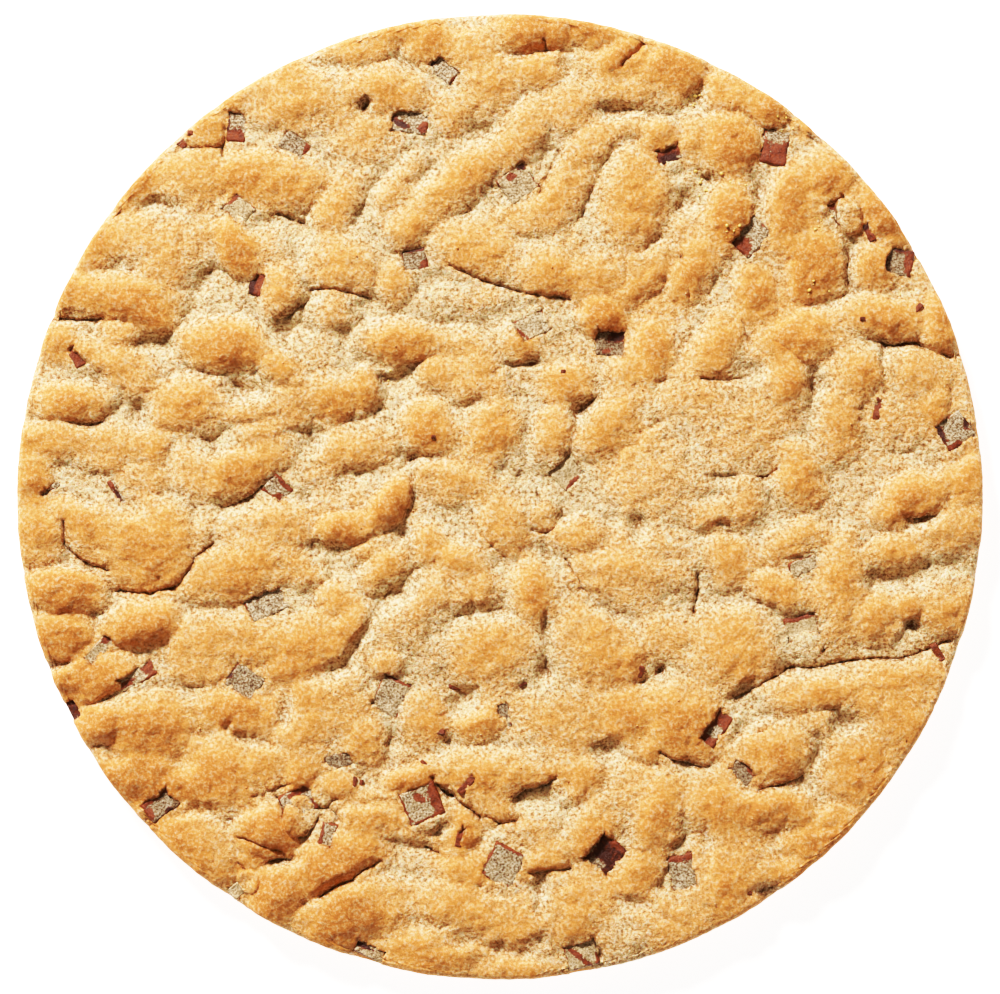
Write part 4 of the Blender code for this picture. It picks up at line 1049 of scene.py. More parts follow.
@dataclass(frozen=True)
class BakedDough:
    """Baked cookie dough: flour, butter and brown sugar, scooped and pressed by hand, baked golden.

    It is a dry, sandy, matt surface. Its crumb lets a little light in, which keeps shadows warm.

    Args:
        valley: Its colour in pale valleys.
        golden: Its colour on most of it.
        browned: Its colour on proud lumps.
        toasted: Its colour where the oven browned it most.
        crease: The colour of the painted shade deep in creases.
        dark_grain: What shades the gaps between its grains.
        pale_grain: The colour of its palest grains.
        toast_fleck: The colour of its toasted flecks.
        golden_at: How browned it is where it is golden.
        browned_at: How browned it is on proud lumps.
        mottling: The pattern of broad patches.
        grain: The pattern of its grains.
        flecks: The pattern of its toasted flecks.
        mottle: How far the browning drifts in broad patches.
        crease_shaded: How the painted crease shade grows with the depth of a crease.
        loose: How much grainier the dough is where it is pale.
        grain_gain: How much of that the grain takes on.
        grain_base: How grainy the dough is everywhere.
        gaps: Which of the grain's pattern are gaps.
        crumbs: Which of it are pale grains.
        fleck: Which of the flecks' pattern shows.
        bump_mm: How high the grain stands, in millimetres.
        glow_mm: How far light travels inside it, in millimetres.
        roughness: How matt it is.
    """

    valley: str = "ecca9b"
    golden: str = "f0b274"
    browned: str = "e49a54"
    toasted: str = "cf8442"
    crease: str = "8c5424"
    dark_grain: str = "99703f"
    pale_grain: str = "fff0cf"
    toast_fleck: str = "a8622a"
    golden_at: float = 0.42
    browned_at: float = 0.78
    mottling: Noise = Noise(3.6, 3.0, 0.6)
    grain: Noise = Noise(1.05, 3.0, 0.68)
    flecks: Noise = Noise(1.5, 2.0, 0.6)
    mottle: float = 0.5
    crease_shaded: Share = Share(0.05, 1.1, 0.8)
    loose: Share = Share(0.75, 0.2)
    grain_gain: float = 0.55
    grain_base: float = 0.36
    gaps: Share = Share(0.51, 0.34)
    crumbs: Share = Share(0.5, 0.66, 0.9)
    fleck: Share = Share(0.62, 0.76, 0.5)
    bump_mm: float = 0.85
    glow_mm: float = 0.9
    roughness: float = 0.72

    def make(self) -> bpy.types.Material:
        """The material: colour by how browned each place is, with crumbs, flecks and a sandy bump."""
        made, tree, shader = new_material("baked_cookie_dough")
        place = add_node(tree, "TexCoord").outputs["Object"]
        browning = add_node(tree, "Attribute", attribute_name="browning").outputs["Fac"]
        mottling = add_node(tree, "TexNoise", {"Vector": place}, self.mottling.inputs()).outputs["Fac"]
        blotch = add_node(tree, "Math", {0: mottling, 2: browning}, {1: self.mottle},
                          operation="MULTIPLY_ADD")
        level = add_node(tree, "Math", {0: blotch.outputs[0]}, {1: self.mottle / 2}, operation="SUBTRACT")
        ramp = add_node(tree, "ValToRGB", {"Fac": level.outputs[0]})
        self._fill_ramp(ramp)
        # Painted shade: the colour darkens towards the crease colour where the relief lies deep
        cavity = add_node(tree, "Attribute", attribute_name="cavity").outputs["Fac"]
        share = add_node(tree, "MapRange", {"Value": cavity}, self.crease_shaded.inputs())
        crease_shaded = add_node(tree, "Mix", {"Factor": share.outputs["Result"], MIX_A: ramp.outputs["Color"]},
                           {MIX_B: linear(self.crease)}, data_type="RGBA")
        grain = add_node(tree, "TexNoise", {"Vector": place}, self.grain.inputs()).outputs["Fac"]
        loose = add_node(tree, "MapRange", {"Value": level.outputs[0]}, self.loose.inputs())
        strength = add_node(tree, "Math", {0: loose.outputs["Result"]},
                            {1: self.grain_gain, 2: self.grain_base}, operation="MULTIPLY_ADD")
        share = add_node(tree, "MapRange", {"Value": grain}, self.gaps.inputs())
        gaps = add_node(tree, "Math", {0: share.outputs["Result"], 1: strength.outputs[0]},
                        operation="MULTIPLY")
        shaded = add_node(tree, "Mix", {"Factor": gaps.outputs[0], MIX_A: crease_shaded.outputs[MIXED]},
                          {MIX_B: linear(self.dark_grain)}, data_type="RGBA", blend_type="MULTIPLY")
        share = add_node(tree, "MapRange", {"Value": grain}, self.crumbs.inputs())
        crumbs = add_node(tree, "Math", {0: share.outputs["Result"], 1: strength.outputs[0]},
                          operation="MULTIPLY")
        sandy = add_node(tree, "Mix", {"Factor": crumbs.outputs[0], MIX_A: shaded.outputs[MIXED]},
                         {MIX_B: linear(self.pale_grain)}, data_type="RGBA")
        flecks = add_node(tree, "TexNoise", {"Vector": place}, self.flecks.inputs()).outputs["Fac"]
        share = add_node(tree, "MapRange", {"Value": flecks}, self.fleck.inputs())
        colour = add_node(tree, "Mix", {"Factor": share.outputs["Result"], MIX_A: sandy.outputs[MIXED]},
                          {MIX_B: linear(self.toast_fleck)}, data_type="RGBA")
        tree.links.new(colour.outputs[MIXED], shader.inputs["Base Color"])
        height = add_node(tree, "Math", {0: grain, 1: strength.outputs[0]}, operation="MULTIPLY")
        bump = add_node(tree, "Bump", {"Height": height.outputs[0]},
                        {"Strength": 1.0, "Distance": self.bump_mm * MM})
        tree.links.new(bump.outputs["Normal"], shader.inputs["Normal"])
        set_inputs(shader, {"Roughness": self.roughness, "IOR": 1.45, "Specular IOR Level": 0.3,
                            "Subsurface Weight": 0.3, "Subsurface Radius": (1.0, 0.45, 0.2),
                            "Subsurface Scale": self.glow_mm * MM})
        return made

    def _fill_ramp(self, ramp: bpy.types.Node) -> None:
        """Sets the ramp's colours, from the palest valley to toasted."""
        stops = ((0.0, self.valley), (self.golden_at, self.golden),
                 (self.browned_at, self.browned), (1.0, self.toasted))
        elements = ramp.color_ramp.elements
        for at, (place, colour) in enumerate(stops):
            element = elements[at] if at < 2 else elements.new(place)
            element.position = place
            element.color = linear(colour)


@dataclass(frozen=True)
class MilkChocolate:
    """Milk chocolate cut in squares and baked in: a dense, satin surface under a dull film of dough.

    Args:
        bare: Its own colour where it is bare.
        dark: Its colour where it is bare and dark: a darker tone at random by the mottling, and painted
            shade where the dark attribute is high.
        film: The colour of the film on it.
        film_pale: The colour of the film's pale specks.
        film_dusky: What a thin film leans to.
        film_doughy: What a thick film leans to.
        film_speck: The colour of the chocolate that shows through the film.
        mottling: The pattern that makes the film's edge ragged.
        specks: The pattern of its specks.
        ragged: How strongly that edge follows the mottling.
        uncovered: How the chocolate shows as the sum of both grows.
        clustered: How much the specks keep together.
        speck: Which of the specks' pattern shows through.
        pale_speck: Which of it is pale.
        dusky: How far a thin film leans to its colour.
        doughy: How far a thick one does.
        fewer: How many specks are left as the film gets thicker.
        shade_gain: How strongly the dark's edge follows the mottling.
        shade_base: What is added, so that dark shows where it outweighs the mottling.
        gloss: How rough the surface is, from the film to the bare chocolate.
        bump_mm: How high the specks stand, in millimetres.
    """

    bare: str = "984a22"
    dark: str = "4a1c0d"
    film: str = "a2805b"
    film_pale: str = "dccdb2"
    film_dusky: str = "6b4a2e"
    film_doughy: str = "e8c794"
    film_speck: str = "4c281b"
    mottling: Noise = Noise(1.3, 4.0, 0.7)
    specks: Noise = Noise(0.7, 3.0, 0.75)
    ragged: float = 2.2
    uncovered: Share = Share(1.52, 1.66)
    clustered: float = 0.45
    speck: Share = Share(0.74, 0.87, 0.85)
    pale_speck: Share = Share(0.53, 0.41)
    dusky: Share = Share(0.0, -1.0, 0.55)
    doughy: Share = Share(0.0, 1.0, 0.62)
    fewer: Share = Share(0.0, 1.0, most=0.5, least=1.0)
    shade_gain: float = -2.6
    shade_base: float = 1.46
    gloss: Share = Share(0.0, 1.0, most=0.42, least=0.8)
    bump_mm: float = 0.45

    def make(self) -> bpy.types.Material:
        """The material: bare chocolate where the attribute says so, else a speckled film."""
        made, tree, shader = new_material("baked_milk_chocolate")
        place = add_node(tree, "TexCoord").outputs["Object"]
        bare = add_node(tree, "Attribute", attribute_name="bare").outputs["Fac"]
        dark = add_node(tree, "Attribute", attribute_name="dark").outputs["Fac"]
        mottling = add_node(tree, "TexNoise", {"Vector": place}, self.mottling.inputs()).outputs["Fac"]
        ragged = add_node(tree, "Math", {0: mottling, 2: bare}, {1: self.ragged}, operation="MULTIPLY_ADD")
        uncovered = add_node(tree, "MapRange", {"Value": ragged.outputs[0]},
                             self.uncovered.inputs()).outputs["Result"]
        specks = add_node(tree, "TexNoise", {"Vector": place}, self.specks.inputs()).outputs["Fac"]
        clusters = add_node(tree, "Math", {0: mottling, 2: specks}, {1: self.clustered},
                            operation="MULTIPLY_ADD")
        speck_share = add_node(tree, "MapRange", {"Value": clusters.outputs[0]}, self.speck.inputs())
        pale_share = add_node(tree, "MapRange", {"Value": specks}, self.pale_speck.inputs())
        pale = add_node(tree, "Mix", {"Factor": pale_share.outputs["Result"]},
                        {MIX_A: linear(self.film), MIX_B: linear(self.film_pale)}, data_type="RGBA")
        thick = add_node(tree, "Attribute", attribute_name="thick").outputs["Fac"]
        dusky_share = add_node(tree, "MapRange", {"Value": thick}, self.dusky.inputs())
        dusky = add_node(tree, "Mix", {"Factor": dusky_share.outputs["Result"], MIX_A: pale.outputs[MIXED]},
                         {MIX_B: linear(self.film_dusky)}, data_type="RGBA")
        doughy_share = add_node(tree, "MapRange", {"Value": thick}, self.doughy.inputs())
        doughy = add_node(tree, "Mix",
                          {"Factor": doughy_share.outputs["Result"], MIX_A: dusky.outputs[MIXED]},
                          {MIX_B: linear(self.film_doughy)}, data_type="RGBA")
        fewer = add_node(tree, "MapRange", {"Value": thick}, self.fewer.inputs())
        speckled = add_node(tree, "Math", {0: speck_share.outputs["Result"], 1: fewer.outputs["Result"]},
                            operation="MULTIPLY")
        film = add_node(tree, "Mix", {"Factor": speckled.outputs[0], MIX_A: doughy.outputs[MIXED]},
                        {MIX_B: linear(self.film_speck)}, data_type="RGBA")
        # Bare chocolate darkens at random by the mottling, and where the dark attribute paints shade
        shade = add_node(tree, "Math", {0: mottling, 2: dark}, {1: self.shade_gain},
                         operation="MULTIPLY_ADD")
        deep = add_node(tree, "Math", {0: shade.outputs[0]}, {1: self.shade_base}, operation="ADD",
                        use_clamp=True)
        cocoa = add_node(tree, "Mix", {"Factor": deep.outputs[0]},
                         {MIX_A: linear(self.bare), MIX_B: linear(self.dark)}, data_type="RGBA")
        colour = add_node(tree, "Mix",
                          {"Factor": uncovered, MIX_A: film.outputs[MIXED], MIX_B: cocoa.outputs[MIXED]},
                          data_type="RGBA")
        tree.links.new(colour.outputs[MIXED], shader.inputs["Base Color"])
        rough = add_node(tree, "MapRange", {"Value": uncovered}, self.gloss.inputs())
        tree.links.new(rough.outputs["Result"], shader.inputs["Roughness"])
        bump = add_node(tree, "Bump", {"Height": specks}, {"Strength": 1.0, "Distance": self.bump_mm * MM})
        tree.links.new(bump.outputs["Normal"], shader.inputs["Normal"])
        set_inputs(shader, {"IOR": 1.47})
        return made


@dataclass(frozen=True)
class SugarCrumb:
    """Crumbs of brown sugar that melted and set: small, amber and glossy.

    Args:
        amber: The colour of the darkest.
        pale: The colour of the palest.
        change_mm: How far apart the two lie, in millimetres.
    """

    amber: str = "e8b23c"
    pale: str = "f6e39a"
    change_mm: float = 1.5

    def make(self) -> bpy.types.Material:
        """The material: yellow that varies from crumb to crumb."""
        made, tree, shader = new_material("set_brown_sugar")
        place = add_node(tree, "TexCoord").outputs["Object"]
        change = add_node(tree, "TexNoise", {"Vector": place}, {"Scale": 1 / (self.change_mm * MM)})
        colour = add_node(tree, "Mix", {"Factor": change.outputs["Fac"]},
                          {MIX_A: linear(self.amber), MIX_B: linear(self.pale)}, data_type="RGBA")
        tree.links.new(colour.outputs[MIXED], shader.inputs["Base Color"])
        set_inputs(shader, {"Roughness": 0.35, "IOR": 1.5})
        return made


def only(made: bpy.types.Object) -> bpy.types.Object:
    """Selects one object alone and makes it the active one."""
    for other in bpy.context.selected_objects:
        other.select_set(False)
    made.select_set(True)
    bpy.context.view_layer.objects.active = made
    return made


def get_points(made: bpy.types.Object) -> np.ndarray:
    """The object's vertices, one row each."""
    flat = np.empty(len(made.data.vertices) * 3, np.float32)
    made.data.vertices.foreach_get("co", flat)
    return flat.reshape(-1, 3).astype(float)


def set_points(made: bpy.types.Object, points: np.ndarray) -> None:
    """Moves the object's vertices."""
    made.data.vertices.foreach_set("co", points.astype(np.float32).ravel())
    made.data.update()


def set_attribute(made: bpy.types.Object, name: str, values: np.ndarray) -> None:
    """Stores one number for each vertex under a name."""
    layer = made.data.attributes.new(name, "FLOAT", "POINT")
    layer.data.foreach_set("value", values.astype(np.float32))


def in_order(faces: np.ndarray) -> np.ndarray:
    """Triangles in a steady order, because some modelling tools give them another one each run.

    Args:
        faces: Three vertex numbers for each triangle.

    Returns:
        The triangles, each from its lowest number on, sorted by their numbers.
    """
    lowest = faces.argmin(axis=1)[:, None]
    rolled = np.take_along_axis(faces, (lowest + np.arange(3)) % 3, axis=1)
    return rolled[np.lexsort(rolled.T[::-1])]


@dataclass
class DoughSlab:
    """The slab of baked dough.

    Args:
        relief: The relief of its top.
        finish: Its material.
        radius: Its radius in metres.
        foot: Radius of the rounding at its foot, in metres.
        uneven: How far its outline draws in, in metres.
        faces: The most triangles that it may have.
        first_cuts: How often each side of the hexagon's triangles is divided.
        second_cuts: How often each part is divided again.
        rim_levels: How many rows of faces round the rim.
        wall_levels: How many down the wall.
        foot_levels: How many round the foot.
        base_levels: How many in over the base.
        step: How far apart the rows are while they are counted, in metres.
        bulge: How far lumps swell out over the valleys, in millimetres for a slope of 1.
        inward: How far in from the rim they reach their full swelling, in metres.
        wall_rough: The swells of the side, in millimetres.
        wall_even: How far in the side lies where it doesn't vary, as a share of uneven.
        wall_vary: How much of uneven the swells take.
        dents: The dents in the base, in millimetres.
        dents_start: Where over the base the dents are full, as a share of the way in.
        below_top: From where to where under the top the side's browning takes over, in metres.
        above_base: From where to where above the base the side's browning pales, in metres.
        side_browning: How brown the side is.
        base_paler: How much paler the base is.
    """

    relief: Relief
    finish: bpy.types.Material
    radius: float
    foot: float = 0.0016
    uneven: float = 0.0006
    faces: int = 197_000
    first_cuts: int = 16
    second_cuts: int = 17
    rim_levels: int = 8
    wall_levels: int = 6
    foot_levels: int = 3
    base_levels: int = 16
    step: float = 0.01
    bulge: float = 0.55
    inward: float = 0.006
    wall_rough: tuple[Swell, ...] = (Swell(0.5, 5, 201), Swell(0.3, 2.1, 202))
    wall_even: float = 0.55
    wall_vary: float = 0.45
    dents: tuple[Swell, ...] = (Swell(0.16, 17, 203), Swell(0.05, 6, 204))
    dents_start: float = 0.12
    below_top: tuple[float, float] = (0.0008, 0.004)
    above_base: tuple[float, float] = (0.002, 0.0005)
    side_browning: float = 0.82
    base_paler: float = 0.10

    @property
    def rim(self) -> float:
        """Radius of its rounded rim, in metres."""
        return self.relief.rim

    def build(self) -> bpy.types.Object:
        """Makes the slab.

        Returns:
            The finished piece.
        """
        only(bpy.context.scene.objects[0])
        bpy.ops.mesh.primitive_circle_add(vertices=6, radius=self.radius - self.rim, fill_type="TRIFAN")
        slab = only(bpy.context.active_object)
        slab.name = "cookie_dough"
        bpy.ops.object.mode_set(mode="EDIT")
        bpy.ops.mesh.select_all(action="SELECT")
        bpy.ops.mesh.subdivide(number_cuts=self.first_cuts)
        bpy.ops.mesh.subdivide(number_cuts=self.second_cuts)
        self._draw_down()
        bpy.ops.mesh.select_all(action="SELECT")
        bpy.ops.mesh.quads_convert_to_tris()
        bpy.ops.mesh.normals_make_consistent(inside=False)
        bpy.ops.object.mode_set(mode="OBJECT")
        self._shape(slab)
        self._thin(slab)
        self._dress(slab)
        return slab

    def _draw_down(self) -> None:
        """Draws the border down in levels, then in to the middle of the base."""
        bpy.ops.mesh.select_mode(type="EDGE")
        bpy.ops.mesh.select_all(action="DESELECT")
        bpy.ops.mesh.select_non_manifold(extend=False)
        levels = self.rim_levels + self.wall_levels + self.foot_levels + self.base_levels
        for _ in range(levels):
            bpy.ops.mesh.extrude_edges_move(TRANSFORM_OT_translate={"value": (0, 0, -self.step)})
        bpy.ops.mesh.merge(type="COLLAPSE")

    def _shape(self, slab: bpy.types.Object) -> None:
        """Moves every vertex to its place on the cookie, and puts the faces in order."""
        points = get_points(slab)
        level = np.rint(-points[:, 2] / self.step).astype(int)
        top = level == 0
        shaped = np.zeros(points.shape)
        x, y = self._to_disc(points[top, 0], points[top, 1])
        shaped[top] = self._raise(x, y)
        side = ~top
        angle = np.arctan2(points[side, 1], points[side, 0])
        shaped[side] = self._side(angle, level[side])
        middle = level >= level.max()
        shaped[middle] = (0, 0, 0)
        corners = np.empty(len(slab.data.loops), np.int32)
        slab.data.loops.foreach_get("vertex_index", corners)
        slab.data.clear_geometry()
        slab.data.from_pydata(shaped.tolist(), [], in_order(corners.reshape(-1, 3)).tolist())
        slab.data.update()

    def _to_disc(self, x: np.ndarray, y: np.ndarray) -> tuple[np.ndarray, np.ndarray]:
        """Blows a hexagon out to the circle through its corners, rings staying evenly spaced."""
        sector = math.pi / 3
        turns = (np.arctan2(y, x) - math.pi / 2) / sector
        number = np.floor(turns)
        local = (turns - number - 0.5) * sector
        radius = np.hypot(x, y) * np.cos(local) / math.cos(sector / 2)
        share = 0.5 + np.tan(local) / (2 * math.tan(sector / 2))
        new_angle = (number + share) * sector + math.pi / 2
        return radius * np.cos(new_angle), radius * np.sin(new_angle)

    def _raise(self, x: np.ndarray, y: np.ndarray) -> np.ndarray:
        """Places on the lumpy top, with the lumps swollen out over the valleys."""
        relief = self.relief
        height = relief.read(relief.grid, x, y) * MM
        inward = smooth_step(0, self.inward, self.radius - self.rim - np.hypot(x, y))
        push = self.bulge * MM * inward
        x_out = x - push * relief.read(relief.slope_x, x, y)
        y_out = y - push * relief.read(relief.slope_y, x, y)
        return np.stack([x_out, y_out, height], 1)

    def _side(self, angle: np.ndarray, level: np.ndarray) -> np.ndarray:
        """Places down the side: rounded rim, upright wall, rounded foot, then in over the base."""
        direction_x, direction_y = np.cos(angle), np.sin(angle)
        border = self.radius - self.rim
        top = self.relief.read(self.relief.grid, direction_x * border, direction_y * border) * MM
        arc = angle * self.radius / MM
        rim_end = self.rim_levels
        wall_end = rim_end + self.wall_levels
        foot_end = wall_end + self.foot_levels
        bend = np.clip(level / rim_end, 0, 1) * math.pi / 2
        drop = np.clip((level - rim_end) / self.wall_levels, 0, 1)
        tuck = np.clip((level - wall_end) / self.foot_levels, 0, 1) * math.pi / 2
        inset = self.rim * (1 - np.sin(bend)) + self.foot * (1 - np.cos(tuck))
        height = top - self.rim * (1 - np.cos(bend))
        height = height * (1 - drop) + self.foot * drop
        height = np.where(level > wall_end, self.foot * (1 - np.sin(tuck)), height)
        rough = swells(arc, height / MM, self.wall_rough)
        rough = self.uneven * (self.wall_even - self.wall_vary * rough) * np.sin(bend)
        radius = self.radius - inset - np.clip(rough, 0, None)
        inner = np.clip((level - foot_end) / self.base_levels, 0, 1)
        radius = radius * (1 - inner)
        on_base = np.where(level > foot_end, 1.0, 0.0)
        x, y = direction_x * radius, direction_y * radius
        lift = sum(dent.height * (1 + wave_noise(x / MM, y / MM, dent.wave, dent.seed))
                   for dent in self.dents)
        height = height + on_base * lift * MM * smooth_step(0, self.dents_start, inner)
        return np.stack([x, y, height], 1)

    def _thin(self, slab: bpy.types.Object) -> None:
        """Thins the mesh where it is flat."""
        only(slab)
        thin = slab.modifiers.new("thin", "DECIMATE")
        thin.ratio = self.faces / len(slab.data.polygons)
        bpy.ops.object.modifier_apply(modifier=thin.name)
        slab.data.shade_smooth()

    def _dress(self, slab: bpy.types.Object) -> None:
        """Gives the slab its material and says how browned each vertex is."""
        points = get_points(slab)
        browning = self.relief.read(self.relief.browning, points[:, 0], points[:, 1])
        top = self.relief.read(self.relief.grid, points[:, 0], points[:, 1]) * MM
        below = smooth_step(*self.below_top, top - points[:, 2])
        under = smooth_step(*self.above_base, points[:, 2])
        browning = browning * (1 - below) + (self.side_browning - self.base_paler * under) * below
        set_attribute(slab, "browning", browning)
        # How deep each place lies, for the painted shade in creases; none on the side
        cavity = self.relief.read(self.relief.cavity, points[:, 0], points[:, 1])
        set_attribute(slab, "cavity", cavity * (1 - below))
        slab.data.materials.clear()
        slab.data.materials.append(self.finish)


def coat(column: np.ndarray, row: np.ndarray, look: Look) -> tuple[np.ndarray, np.ndarray]:
    """How bare the chocolate is at photo pixels, and how dark with painted shade.

    Args:
        column: Pixel columns.
        row: Pixel rows.
        look: What covers most of the chunk.

    Returns:
        How bare each place is and how dark, from 0 to 1.
    """
    bare = np.full(column.shape, UNDER_FILM if look is FILM else UNCOVERED)
    dark = np.full(column.shape, SHADED if look is DARK else LIT)
    for streak in STREAKS:
        along, across = turned(column, row, streak)
        near = np.hypot(along / streak.half_length, across / streak.half_width)
        share = smooth_step(*STREAK_EDGE, near)
        bare = bare * (1 - share) + share * (0.0 if streak.look is FILM else 1.0)
        dark = dark * (1 - share) + share * (1.0 if streak.look is DARK else STREAK_LIT)
    return bare, dark


@dataclass
class ChocolateChunk:
    """A chunk of chocolate in its pocket.

    Args:
        number: Its number, which names it and its node.
        chunk: Its place and sizes.
        photo: The photograph's frame.
        finish: Its material.
        lift: How far it stands above its solid's place, in millimetres.
        thickness: How thick it is, in metres.
        worn: How far its edges are worn round, in metres.
        most_worn: The most of that, as a share of its width.
        cuts: How often each side is divided.
        packing: How much closer the cuts lie towards the edges.
        top_start: From where to where up its half height the top's swells come in.
        side_start: From where to where out to a side that side's swells come in.
        rough: The swells of its top, in millimetres.
        wobble: The swells of its sides: the most and the width, in millimetres.
        most_wobble: The most of that, as a share of half its size.
        ragged: The swells of its rubbed edges: heights and widths in pixels.
        rubbed: The swells of where its edges are rubbed, the same way.
        rub_and_shade_lean: How much more they are bared up and to the left, for each pixel, as painted
            shadow of the pocket's wall.
        rub_band: How far in its edges are rubbed, in pixels.
        most_band: The most of that, as a share of its width.
        rub_full: Where in that band they are rubbed fully.
        rub_bare: How bare they are there.
        rub_edge: From where to where of the swells they are rubbed.
        flank: How far under its top its flanks start and are full, in metres.
        flank_bare: How bare a filmed chunk's flanks are, and another's.
        flank_dark: How dark flanks are: painted shade, where they stand down in the pocket.
        film_vary: The swells of the film's thickness: height from 0 to 1, width in pixels.
    """

    number: int
    chunk: Chunk
    photo: PhotoFrame
    finish: bpy.types.Material
    lift: float
    thickness: float = 0.0062
    worn: float = 0.001
    most_worn: float = 0.16
    cuts: int = 17
    packing: float = 0.55
    top_start: tuple[float, float] = (0.3, 0.9)
    side_start: tuple[float, float] = (0.5, 1)
    rough: tuple[Swell, ...] = (Swell(0.36, 3.6, 300), Swell(0.16, 1.4, 400))
    wobble: Swell = Swell(0.5, 2.6, 500)
    most_wobble: float = 0.1
    ragged: Swell = Swell(1.6, 8, 600)
    rubbed: Swell = Swell(1.0, 22, 700)
    rub_and_shade_lean: float = 0.012
    rub_band: float = 3.6
    most_band: float = 0.15
    rub_full: float = 0.45
    rub_bare: float = 0.95
    rub_edge: tuple[float, float] = (-0.25, 0.2)
    flank: tuple[float, float] = (0.0012, 0.0026)
    flank_bare: tuple[float, float] = (0.3, 0.8)
    flank_dark: float = 0.6
    film_vary: Swell = Swell(0.3, 9, 800)

    @property
    def node(self) -> str:
        """The name of the solid that it stands for."""
        return f"chocolate_chunk_{self.number:02d}"

    def build(self) -> bpy.types.Object:
        """Makes the chunk.

        Returns:
            The finished piece.
        """
        low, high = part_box(self.node)
        middle = (low + high) / 2 + Vector((0, 0, self.lift * MM))
        pixel = self.photo.pixel
        half = Vector((self.chunk.length * pixel, self.chunk.width * pixel, self.thickness)) / 2
        only(bpy.context.scene.objects[0])
        bpy.ops.mesh.primitive_cube_add(size=2, location=middle, rotation=self._turn())
        piece = only(bpy.context.active_object)
        piece.name = f"baked_chunk_{self.number:02d}"
        piece.scale = half
        bpy.ops.object.transform_apply(location=False, rotation=False, scale=True)
        bpy.ops.object.mode_set(mode="EDIT")
        bpy.ops.mesh.select_all(action="SELECT")
        bpy.ops.mesh.subdivide(number_cuts=self.cuts)
        bpy.ops.object.mode_set(mode="OBJECT")
        self._wear(piece, np.array(half))
        bpy.ops.object.transform_apply(location=True, rotation=True, scale=True)
        self._dress(piece)
        return piece

    def _turn(self) -> Euler:
        """The chunk's turn and tilt."""
        tilt = Euler((math.radians(self.chunk.lean), math.radians(self.chunk.tip), 0)).to_matrix()
        return (Matrix.Rotation(math.radians(self.chunk.turn), 3, "Z") @ tilt).to_euler()

    def _wear(self, piece: bpy.types.Object, half: np.ndarray) -> None:
        """Packs the mesh towards the edges, rounds them, and roughens the faces."""
        share = get_points(piece) / half
        packed = np.sin(share * math.pi / 2) * self.packing + share * (1 - self.packing)
        points = packed * half
        worn = min(self.worn, self.most_worn * self.chunk.width * self.photo.pixel)
        core = np.clip(points, -(half - worn), half - worn)
        off = points - core
        length = np.linalg.norm(off, axis=1, keepdims=True)
        points = core + off / np.maximum(length, 1e-9) * worn
        along, across = points[:, 0] / MM, points[:, 1] / MM
        top = smooth_step(*self.top_start, points[:, 2] / half[2])
        points[:, 2] += top * swells(along, across, self.rough, seed=self.number) * MM
        for axis in (0, 1):
            other = points[:, 1 - axis] / MM
            seed = self.wobble.seed + 10 * self.number + axis
            wobble = wave_noise(other, points[:, 2] / MM, self.wobble.wave, seed)
            edge = np.abs(points[:, axis]) / half[axis]
            most = np.minimum(self.wobble.height, self.most_wobble * half[axis] / MM)
            inward = most * (0.5 - 0.5 * wobble) * MM
            points[:, axis] -= np.sign(points[:, axis]) * inward * smooth_step(*self.side_start, edge)
        set_points(piece, points)

    def _worn_bare(self, column: np.ndarray, row: np.ndarray) -> np.ndarray:
        """How far the film has rubbed off along the edges, here and there, and more on the upper left, where
        the barer edge paints the pocket wall's shadow.
        """
        along, across = turned(column, row, self.chunk)
        inside = np.minimum(self.chunk.length / 2 - np.abs(along), self.chunk.width / 2 - np.abs(across))
        ragged = swells(column, row, [self.ragged], start=inside, seed=self.number)
        # Barer towards the upper left: painted shadow of the pocket's wall
        lean = self.rub_and_shade_lean * (self.chunk.x - column + self.chunk.y - row)
        here = swells(column, row, [self.rubbed], seed=self.number) + lean
        band = min(self.rub_band, self.most_band * self.chunk.width)
        rubbed = smooth_step(band, self.rub_full * band, ragged) * smooth_step(*self.rub_edge, here)
        return self.rub_bare * rubbed

    def _dress(self, piece: bpy.types.Object) -> None:
        """Gives the chunk its material and says where it is bare, and where painted shade darkens it."""
        points = get_points(piece)
        column, row = self.photo.pixels(points[:, 0], points[:, 1])
        bare, dark = coat(column, row, self.chunk.look)
        bare = np.maximum(bare, self._worn_bare(column, row))
        top = points[:, 2].max()
        start, full = self.flank
        low = smooth_step(top - start, top - full, points[:, 2])
        filmed, unfilmed = self.flank_bare
        flank_bare = filmed if self.chunk.look is FILM else unfilmed
        set_attribute(piece, "bare", np.maximum(bare, flank_bare * low))
        # The dark attribute is painted shade: dark streaks, and the flanks down in the pocket
        set_attribute(piece, "dark", np.maximum(dark, self.flank_dark * low))
        thick = swells(column, row, [self.film_vary], start=self.chunk.thick, seed=self.number)
        set_attribute(piece, "thick", np.clip(thick, -1, 1))
        piece.data.materials.append(self.finish)
        piece.data.shade_smooth()


def joined_copies(name: str, shape: tuple[np.ndarray, np.ndarray],
                  copies: Sequence[np.ndarray]) -> bpy.types.Object:
    """One mesh that holds many copies of a small shape.

    Args:
        name: The piece's name.
        shape: The shape's points and its triangles.
        copies: The points of each copy, in the shape's order.

    Returns:
        The joined piece.
    """
    count = len(shape[0])
    points = np.concatenate(list(copies))
    faces = np.concatenate([shape[1] + count * number for number in range(len(copies))])
    mesh = bpy.data.meshes.new(name)
    mesh.from_pydata(points.tolist(), [], faces.tolist())
    mesh.update()
    made = bpy.data.objects.new(name, mesh)
    bpy.context.scene.collection.objects.link(made)
    return made


def shape_of(made: bpy.types.Object) -> tuple[np.ndarray, np.ndarray]:
    """The points and triangles of an object, which is then removed."""
    points = get_points(made)
    faces = []
    for face in made.data.polygons:
        corners = list(face.vertices)
        at = corners.index(min(corners))
        corners = corners[at:] + corners[:at]
        faces += [(corners[0], *pair) for pair in zip(corners[1:], corners[2:])]
    bpy.data.objects.remove(made)
    return points, in_order(np.array(faces))


